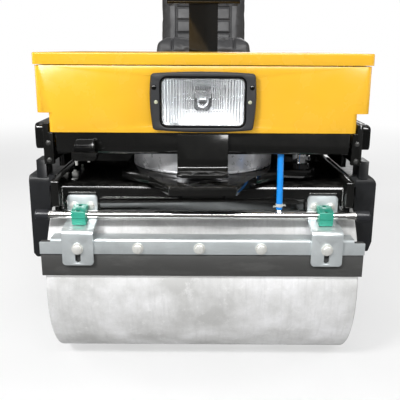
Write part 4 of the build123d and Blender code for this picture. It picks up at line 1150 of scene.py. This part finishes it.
class ROLLER_OT_controls(bpy.types.Operator):
    """Makes the dash's dial, lamps, switches and key, the lever's boot and the wheel's hub cap"""
    bl_idname = "roller.controls"
    bl_label = "Controls"

    def execute(self, context):
        self.dial()
        self.lamps_and_switches()
        self.boot()
        self.hub()
        return {"FINISHED"}

    def dial(self):
        """Plain dial with a rim, ticks and a needle."""
        rim, face, marks = bmesh.new(), bmesh.new(), bmesh.new()
        at = on_panel(0.0, DIAL_SHARE)
        lathe(rim, at, DIAL_RIM, steps=40)
        bar(face, raised(at, DIAL_FACE_LIFT), *DIAL_FACE, sides=40)
        for tick in range(TICKS):
            reach, size = SHORT_TICK if tick % 3 else LONG_TICK
            turned = at @ Matrix.Rotation(math.radians(TICK_START - tick * TICK_STEP), 4, "Z")
            brick(marks, turned @ Matrix.Translation((reach, 0, TICK_LIFT)), size)
        turned = at @ Matrix.Rotation(math.radians(NEEDLE_ANGLE), 4, "Z")
        brick(marks, turned @ Matrix.Translation((NEEDLE_REACH, 0, NEEDLE_LIFT)), NEEDLE_SIZE)
        bar(marks, raised(at, NEEDLE_HUB_LIFT), *NEEDLE_HUB, sides=16)
        piece("dial_rim", rim, "control_black", "root")
        piece("dial_face", face, "dial_white", "root")
        piece("dial_marks", marks, "control_black", "root")

    def lamps_and_switches(self):
        """Warning lamps, two rocker switches and the key in its barrel."""
        dark, bright = bmesh.new(), bmesh.new()
        lenses = {"lamp_red": bmesh.new(), "lamp_amber": bmesh.new()}
        for x, share, finish_name in WARNING_LAMPS:
            lathe(dark, on_panel(x, share), LAMP_SOCKET, steps=20)
            lathe(lenses[finish_name], on_panel(x, share), LAMP_LENS, steps=20)
        for x in SWITCHES:
            at = on_panel(x, SWITCH_SHARE)
            brick(dark, raised(at, SWITCH_SIZE[2] / 2), SWITCH_SIZE, edge=0.001)
            rocker = raised(at, ROCKER_LIFT) @ Matrix.Rotation(ROCKER_TILT, 4, "X")
            brick(dark, rocker, ROCKER_SIZE, edge=0.0012)
        at = on_panel(KEY_X, SWITCH_SHARE)
        lathe(bright, at, KEY_BARREL, steps=28)
        brick(bright, raised(at, KEY_LIFT), KEY_SIZE, edge=0.0005)
        lathe(dark, raised(at, KEY_GRIP_LIFT) @ Matrix.Rotation(math.pi / 2, 4, "Y"), KEY_GRIP, steps=24)
        piece("dash_switches", dark, "control_black", "root")
        piece("dash_key", bright, "chrome", "root")
        piece("warning_lamps_red", lenses["lamp_red"], "lamp_red", "root")
        piece("warning_lamps_amber", lenses["lamp_amber"], "lamp_amber", "root")

    def boot(self):
        """Bellows over the lever's foot."""
        low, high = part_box("travel_lever")
        foot = Vector(((low.x + high.x) / 2, low.y + BOOT_Y, BOOT_Z))
        profile = [(0, 0), (BOOT_FOOT, 0)]
        for fold in range(FOLDS):
            rise = fold * FOLD_STEP
            profile += [(RIDGE[0] - fold * RIDGE_SHRINK, RIDGE[1] + rise),
                        (VALLEY[0] - fold * VALLEY_SHRINK, VALLEY[1] + rise)]
        profile += [(BOOT_NECK, BOOT_HEIGHT), (0, BOOT_HEIGHT)]
        shape = bmesh.new()
        lathe(shape, laid(foot, knob_middle() - foot), profile, steps=28)
        piece("lever_boot", shape, "cap_rubber", "root", smooth=70)

    def hub(self):
        """Hub cap of the steering wheel."""
        normal = Vector((0, math.sin(WHEEL_TILT), math.cos(WHEEL_TILT)))
        shape = bmesh.new()
        lathe(shape, laid(middle("steering_wheel") + normal * HUB_CAP_LIFT, normal), HUB_CAP, steps=36)
        piece("wheel_hub_cap", shape, "control_black", "steering_wheel")


FLOOR_SHEET = 0.008                 # the footwell's plate, whose top carries the lugs
LUG_MARGIN_X, LUG_MARGIN_Y = 0.03, 0.07
LUG_HALF = (0.0115, 0.0042, 0.0020)


class ROLLER_OT_tread_plate(bpy.types.Operator):
    """Lays the chequer plate's raised lugs on the footwell's floor"""
    bl_idname = "roller.tread_plate"
    bl_label = "Tread Plate"

    def execute(self, context):
        pitch = props().sizes.tread
        low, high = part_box("footwell")
        columns = int((high.x - low.x - LUG_MARGIN_X) / pitch)
        rows = int((high.y - low.y - LUG_MARGIN_Y) / pitch)
        shape = bmesh.new()
        for column in range(columns):
            for row in range(rows):
                x = (column - (columns - 1) / 2) * pitch
                y = (row - (rows - 1) / 2) * pitch
                lean = math.radians(45 if (column + row) % 2 else -45)
                at = Matrix.Translation((x, y, low.z + FLOOR_SHEET)) @ Matrix.Rotation(lean, 4, "Z")
                bmesh.ops.create_uvsphere(shape, u_segments=10, v_segments=5, radius=1.0,
                                          matrix=at @ Matrix.Diagonal((*LUG_HALF, 1.0)))
        piece("tread_lugs", shape, "frame_black", "root", smooth=80)
        return {"FINISHED"}


FIN_SPAN, FIN_Y, FIN_LIFT, FIN_SIZE = 0.20, -0.02, 0.004, (0.003, 0.13, 0.012)
STARTER_X, STARTER_Z = 0.200, 0.590
STARTER = ((0, 0), (0.085, 0), (0.085, 0.020), (0.075, 0.030), (0.030, 0.034), (0.026, 0.040),
           (0, 0.042))
VANES, VANE_CIRCLE, VANE_REACH, VANE_SIZE = 12, 0.052, 0.031, (0.022, 0.006, 0.004)
TANK_CAP_X, TANK_CAP_Y = -0.180, 0.060      # from the front axle
GRIPS, GRIP_CIRCLE, GRIP_DROP, GRIP_SIZE = 24, 0.0452, 0.009, (0.002, 0.005, 0.015)


class ROLLER_OT_engine_fittings(bpy.types.Operator):
    """Makes the engine's fins and starter cover, and the ribs of the tank's cap"""
    bl_idname = "roller.engine_fittings"
    bl_label = "Engine Fittings"

    def execute(self, context):
        self.fins_and_starter()
        self.tank_cap()
        return {"FINISHED"}

    def fins_and_starter(self):
        """Fins over the engine, and the vaned cover on its right."""
        centre, top = middle("engine"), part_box("engine")[1].z
        shape = bmesh.new()
        count = props().sizes.fins
        for fin in range(count):
            x = -FIN_SPAN / 2 + fin * FIN_SPAN / (count - 1)
            brick(shape, laid((x, centre.y + FIN_Y, top + FIN_LIFT)), FIN_SIZE, edge=0.0008)
        starter = Vector((STARTER_X, centre.y, STARTER_Z))
        lathe(shape, laid(starter, RIGHT), STARTER, steps=48)
        for angle, along, up in around(VANES, VANE_CIRCLE):
            spot = starter + Vector((VANE_REACH, along, up))
            brick(shape, laid(spot, RIGHT, angle), VANE_SIZE, edge=0.001)
        piece("engine_fins_and_starter", shape, "cast_metal", "root")

    def tank_cap(self):
        """Grip ribs round the water tank's cap."""
        cap = Vector((TANK_CAP_X, FRONT + TANK_CAP_Y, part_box("water_tank")[1].z - GRIP_DROP))
        shape = bmesh.new()
        for angle, x, y in around(GRIPS, GRIP_CIRCLE):
            brick(shape, laid(cap + Vector((x, y, 0)), UP, angle), GRIP_SIZE, edge=0.0006)
        piece("tank_cap_ribs", shape, "tank_white", "root")


LATCH_PLACES = (-0.10, 0.20)        # behind the front axle
PLATE_THICKNESS = 0.004
KEEPER_SIZE, KEEPER_DROP = (0.030, 0.020), 0.012
FOOT_SIZE, FOOT_DROP, FOOT_INSET = (0.030, 0.026), 0.065, 0.003
FOOT_BOLT_HALF, FOOT_BOLT = 0.009, (0.0032, 0.002)


class ROLLER_OT_hood_fittings(bpy.types.Operator):
    """Makes the hood lid's latches"""
    bl_idname = "roller.hood_fittings"
    bl_label = "Hood Fittings"

    def execute(self, context):
        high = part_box("hood_lid")[1]
        keepers, feet = bmesh.new(), bmesh.new()
        for side in SIDES:
            way = side * RIGHT
            for y in LATCH_PLACES:
                wall = Vector((side * high.x, FRONT + y, high.z - KEEPER_DROP))
                brick(keepers, laid(wall + way * PLATE_THICKNESS / 2, way),
                      (*KEEPER_SIZE, PLATE_THICKNESS), edge=0.0008)
                skirt = Vector((side * (high.x - FOOT_INSET), FRONT + y, high.z - FOOT_DROP))
                brick(feet, laid(skirt + way * PLATE_THICKNESS / 2, way),
                      (*FOOT_SIZE, PLATE_THICKNESS), edge=0.0008)
                for shift in SIDES:
                    spot = skirt + way * PLATE_THICKNESS + shift * FOOT_BOLT_HALF * BACK
                    bolt(feet, laid(spot, way), *FOOT_BOLT, washer=0)
        piece("lid_keepers", keepers, "bolt_zinc", "hood_lid")
        piece("lid_latch_feet", feet, "bolt_zinc", "root")
        return {"FINISHED"}


CAMERA_PLACE = Vector((0.0, -2.043, 0.745))
CAMERA_PITCH, CAMERA_ROLL = math.radians(14.6), math.radians(0.3)
CAMERA_LENS, CAMERA_SENSOR, CAMERA_SHIFT = 52.2, 36.0, -0.00625
# name: (place, aim, width, height, watts, whether it lights dull faces too)
LIGHTS = {
    "key": ((-1.6, -2.8, 2.2), (0.0, -0.7, 0.5), 0.7, 0.5, 60.0, True),
    "overhead": ((0.1, -2.9, 2.4), (0.0, -0.7, 0.45), 2.8, 0.16, 30.0, True),
    "sheen_panel": ((0.0, -3.0, 2.35), (0.0, -0.7, 0.45), 3.0, 0.9, 150.0, False),
    "top": ((0.0, -0.2, 3.0), (0.0, 0.0, 0.4), 2.2, 1.6, 18.0, True),
    "right_strip": ((2.4, -0.6, 1.2), (0.2, 0.0, 0.5), 0.5, 2.0, 18.0, True),
    "left_strip": ((-2.4, -0.4, 1.1), (-0.2, 0.0, 0.5), 0.5, 2.0, 18.0, True),
    "low_strip": ((0.0, -3.7, 0.30), (0.0, -0.83, 0.25), 3.0, 0.30, 20.0, True),
    "back_softbox": ((0.8, 3.2, 2.1), (0.0, 0.7, 0.5), 2.0, 1.0, 36.0, True),
}
DRUMS = ("front_drum", "rear_drum")
# light: (whether it is kept to some nodes or off them, the nodes)
FLAGS = {
    "sheen_panel": ("EXCLUDE", (*DRUMS, "headlight_reflector")),
    "low_strip": ("INCLUDE", DRUMS),
}
ROOM_LIGHT = 0.22                   # strength of the room's walls in what they light
FLOOR_SIZE, FLOOR_TONE, FLOOR_CLOUD = 60.0, 0.90, 0.01
FLOOR_MIRRORED = 0.12               # share of the floor's tone in what glossy faces show
FLOOR_GLOW = 0.5                    # how far the lit floor glows by itself near the machine
FLOOR_NEAR, FLOOR_FAR = 1.6, 4.5    # where the glow begins to grow, and where it is whole
GLOW_DULL, GLOW_GLOSSY = 1.0, 0.10  # the glow's strength in what dull and glossy faces get


class ROLLER_OT_stage(bpy.types.Operator):
    """Sets the floor, the soft lights and the camera"""
    bl_idname = "roller.stage"
    bl_label = "Stage"

    def execute(self, context):
        self.floor(context.scene)
        self.room(context.scene)
        self.lights(context.scene)
        self.camera(context.scene)
        context.scene.view_settings.view_transform = "Standard"
        return {"FINISHED"}

    def floor(self, scene):
        """Pale floor that runs out into the white of the room."""
        shape = bmesh.new()
        bmesh.ops.create_grid(shape, x_segments=1, y_segments=1, size=FLOOR_SIZE)
        mesh = bpy.data.meshes.new("floor")
        shape.to_mesh(mesh)
        shape.free()
        floor = bpy.data.objects.new("floor", mesh)
        scene.collection.objects.link(floor)
        mesh.materials.append(self.floor_pale())

    def floor_pale(self):
        """Dull pale paint that glows more the farther it is from the machine."""
        pale = Finish("floor_pale", Roughness=0.7, Specular_IOR_Level=0.1)
        rays = pale.node("LightPath", {}).outputs
        tones = pale.ramp(pale.noise(3.0, 3.0), (0.3, FLOOR_TONE - FLOOR_CLOUD),
                          (0.7, FLOOR_TONE + FLOOR_CLOUD))
        pale.wear("Base Color", pale.mix(rays["Is Glossy Ray"], tones, (FLOOR_TONE * FLOOR_MIRRORED,) * 3))
        away = pale.node("VectorMath", {0: pale.place}, operation="LENGTH").outputs["Value"]
        reach = {"From Min": FLOOR_NEAR, "From Max": FLOOR_FAR, "To Min": FLOOR_GLOW}
        share = self.between(pale, away, reach, interpolation_type="SMOOTHSTEP")
        lit = self.between(pale, rays["Is Diffuse Ray"], {"To Min": GLOW_GLOSSY, "To Max": GLOW_DULL})
        seen = self.between(pale, rays["Is Camera Ray"], {"To Min": lit})
        white = pale.node("Emission", {"Strength": seen})
        both = pale.node("MixShader", {0: share, 1: pale.shader.outputs[0], 2: white.outputs[0]})
        pale.tree.links.new(both.outputs[0], pale.tree.nodes["Material Output"].inputs["Surface"])
        return pale.material

    def between(self, coat, value, ends, **settings):
        """A value moved from one range to another; ends that aren't given are 0 and 1."""
        return coat.node("MapRange", {"Value": value, **ends}, **settings).outputs["Result"]

    def room(self, scene):
        """White room that is dimmer in what it lights than it looks."""
        world = bpy.data.worlds.new("studio")
        world.use_nodes = True
        tree = world.node_tree
        seen = tree.nodes.new("ShaderNodeLightPath").outputs["Is Camera Ray"]
        level = tree.nodes.new("ShaderNodeMapRange")
        level.inputs["To Min"].default_value = ROOM_LIGHT
        tree.links.new(seen, level.inputs["Value"])
        sky = tree.nodes["Background"]
        sky.inputs["Color"].default_value = (1.0, 1.0, 1.0, 1.0)
        tree.links.new(level.outputs["Result"], sky.inputs["Strength"])
        scene.world = world

    def lights(self, scene):
        """Soft area lights, some of them flagged on or off some nodes."""
        for name, (place, aim, width, height, watts, dull_too) in LIGHTS.items():
            lamp = bpy.data.lights.new(name, "AREA")
            lamp.shape = "RECTANGLE"
            lamp.size, lamp.size_y = width, height
            lamp.energy = watts
            thing = bpy.data.objects.new(name, lamp)
            thing.location = place
            thing.visible_diffuse = dull_too
            if name in FLAGS:
                state, nodes = FLAGS[name]
                flag = bpy.data.collections.new(f"{name}_flag")
                thing.light_linking.receiver_collection = flag
                for node in nodes:
                    flag.objects.link(frame["nodes"][node])
                for entry in flag.collection_objects:
                    entry.light_linking.link_state = state
            thing.rotation_mode = "QUATERNION"
            thing.rotation_quaternion = (Vector(aim) - Vector(place)).to_track_quat("-Z", "Y")
            scene.collection.objects.link(thing)

    def camera(self, scene):
        """Camera ahead of the machine, looking a little down on it."""
        lens = bpy.data.cameras.new("camera")
        lens.lens = CAMERA_LENS
        lens.sensor_width = CAMERA_SENSOR
        lens.shift_x = CAMERA_SHIFT
        camera = bpy.data.objects.new("camera", lens)
        camera.location = CAMERA_PLACE
        tilt = Matrix.Rotation(math.pi / 2 - CAMERA_PITCH, 4, "X")
        camera.rotation_euler = (tilt @ Matrix.Rotation(CAMERA_ROLL, 4, "Z")).to_euler()
        scene.collection.objects.link(camera)
        scene.camera = camera


class RollerProperties(bpy.types.PropertyGroup):
    """Everything a user may change."""
    colours: PointerProperty(name="Colours", description="Colours of the finishes", type=RollerColours)
    sizes: PointerProperty(name="Sizes", description="Sizes of the dressing", type=RollerSizes)


OPERATORS = (
    ROLLER_OT_water_hose, ROLLER_OT_finish_solids, ROLLER_OT_headlamp, ROLLER_OT_scraper_bolts,
    ROLLER_OT_weld_beads, ROLLER_OT_frame_fasteners, ROLLER_OT_drum_mounts, ROLLER_OT_seat,
    ROLLER_OT_controls, ROLLER_OT_tread_plate, ROLLER_OT_engine_fittings, ROLLER_OT_hood_fittings,
    ROLLER_OT_stage,
)


class ROLLER_PT_panel(bpy.types.Panel):
    """Lists the roller's pieces and what a user may change"""
    bl_label = "Road Roller"
    bl_idname = "ROLLER_PT_panel"
    bl_space_type = "VIEW_3D"
    bl_region_type = "UI"
    bl_category = "Roller"

    def draw(self, context):
        for group in (props().colours, props().sizes):
            box = self.layout.box()
            for name in group.__annotations__:
                box.prop(group, name)
        for operator in OPERATORS:
            self.layout.operator(operator.bl_idname)


CLASSES = (RollerColours, RollerSizes, RollerProperties, *OPERATORS, ROLLER_PT_panel)


def register():
    for each in CLASSES:
        bpy.utils.register_class(each)
    bpy.types.Scene.roller = PointerProperty(name="Roller", description="Road roller",
                                             type=RollerProperties)


def unregister():
    del bpy.types.Scene.roller
    for each in reversed(CLASSES):
        bpy.utils.unregister_class(each)


def main():
    register()
    for operator in OPERATORS:
        group, name = operator.bl_idname.split(".")
        getattr(getattr(bpy.ops, group), name)()


if __name__ == "__main__":
    main()
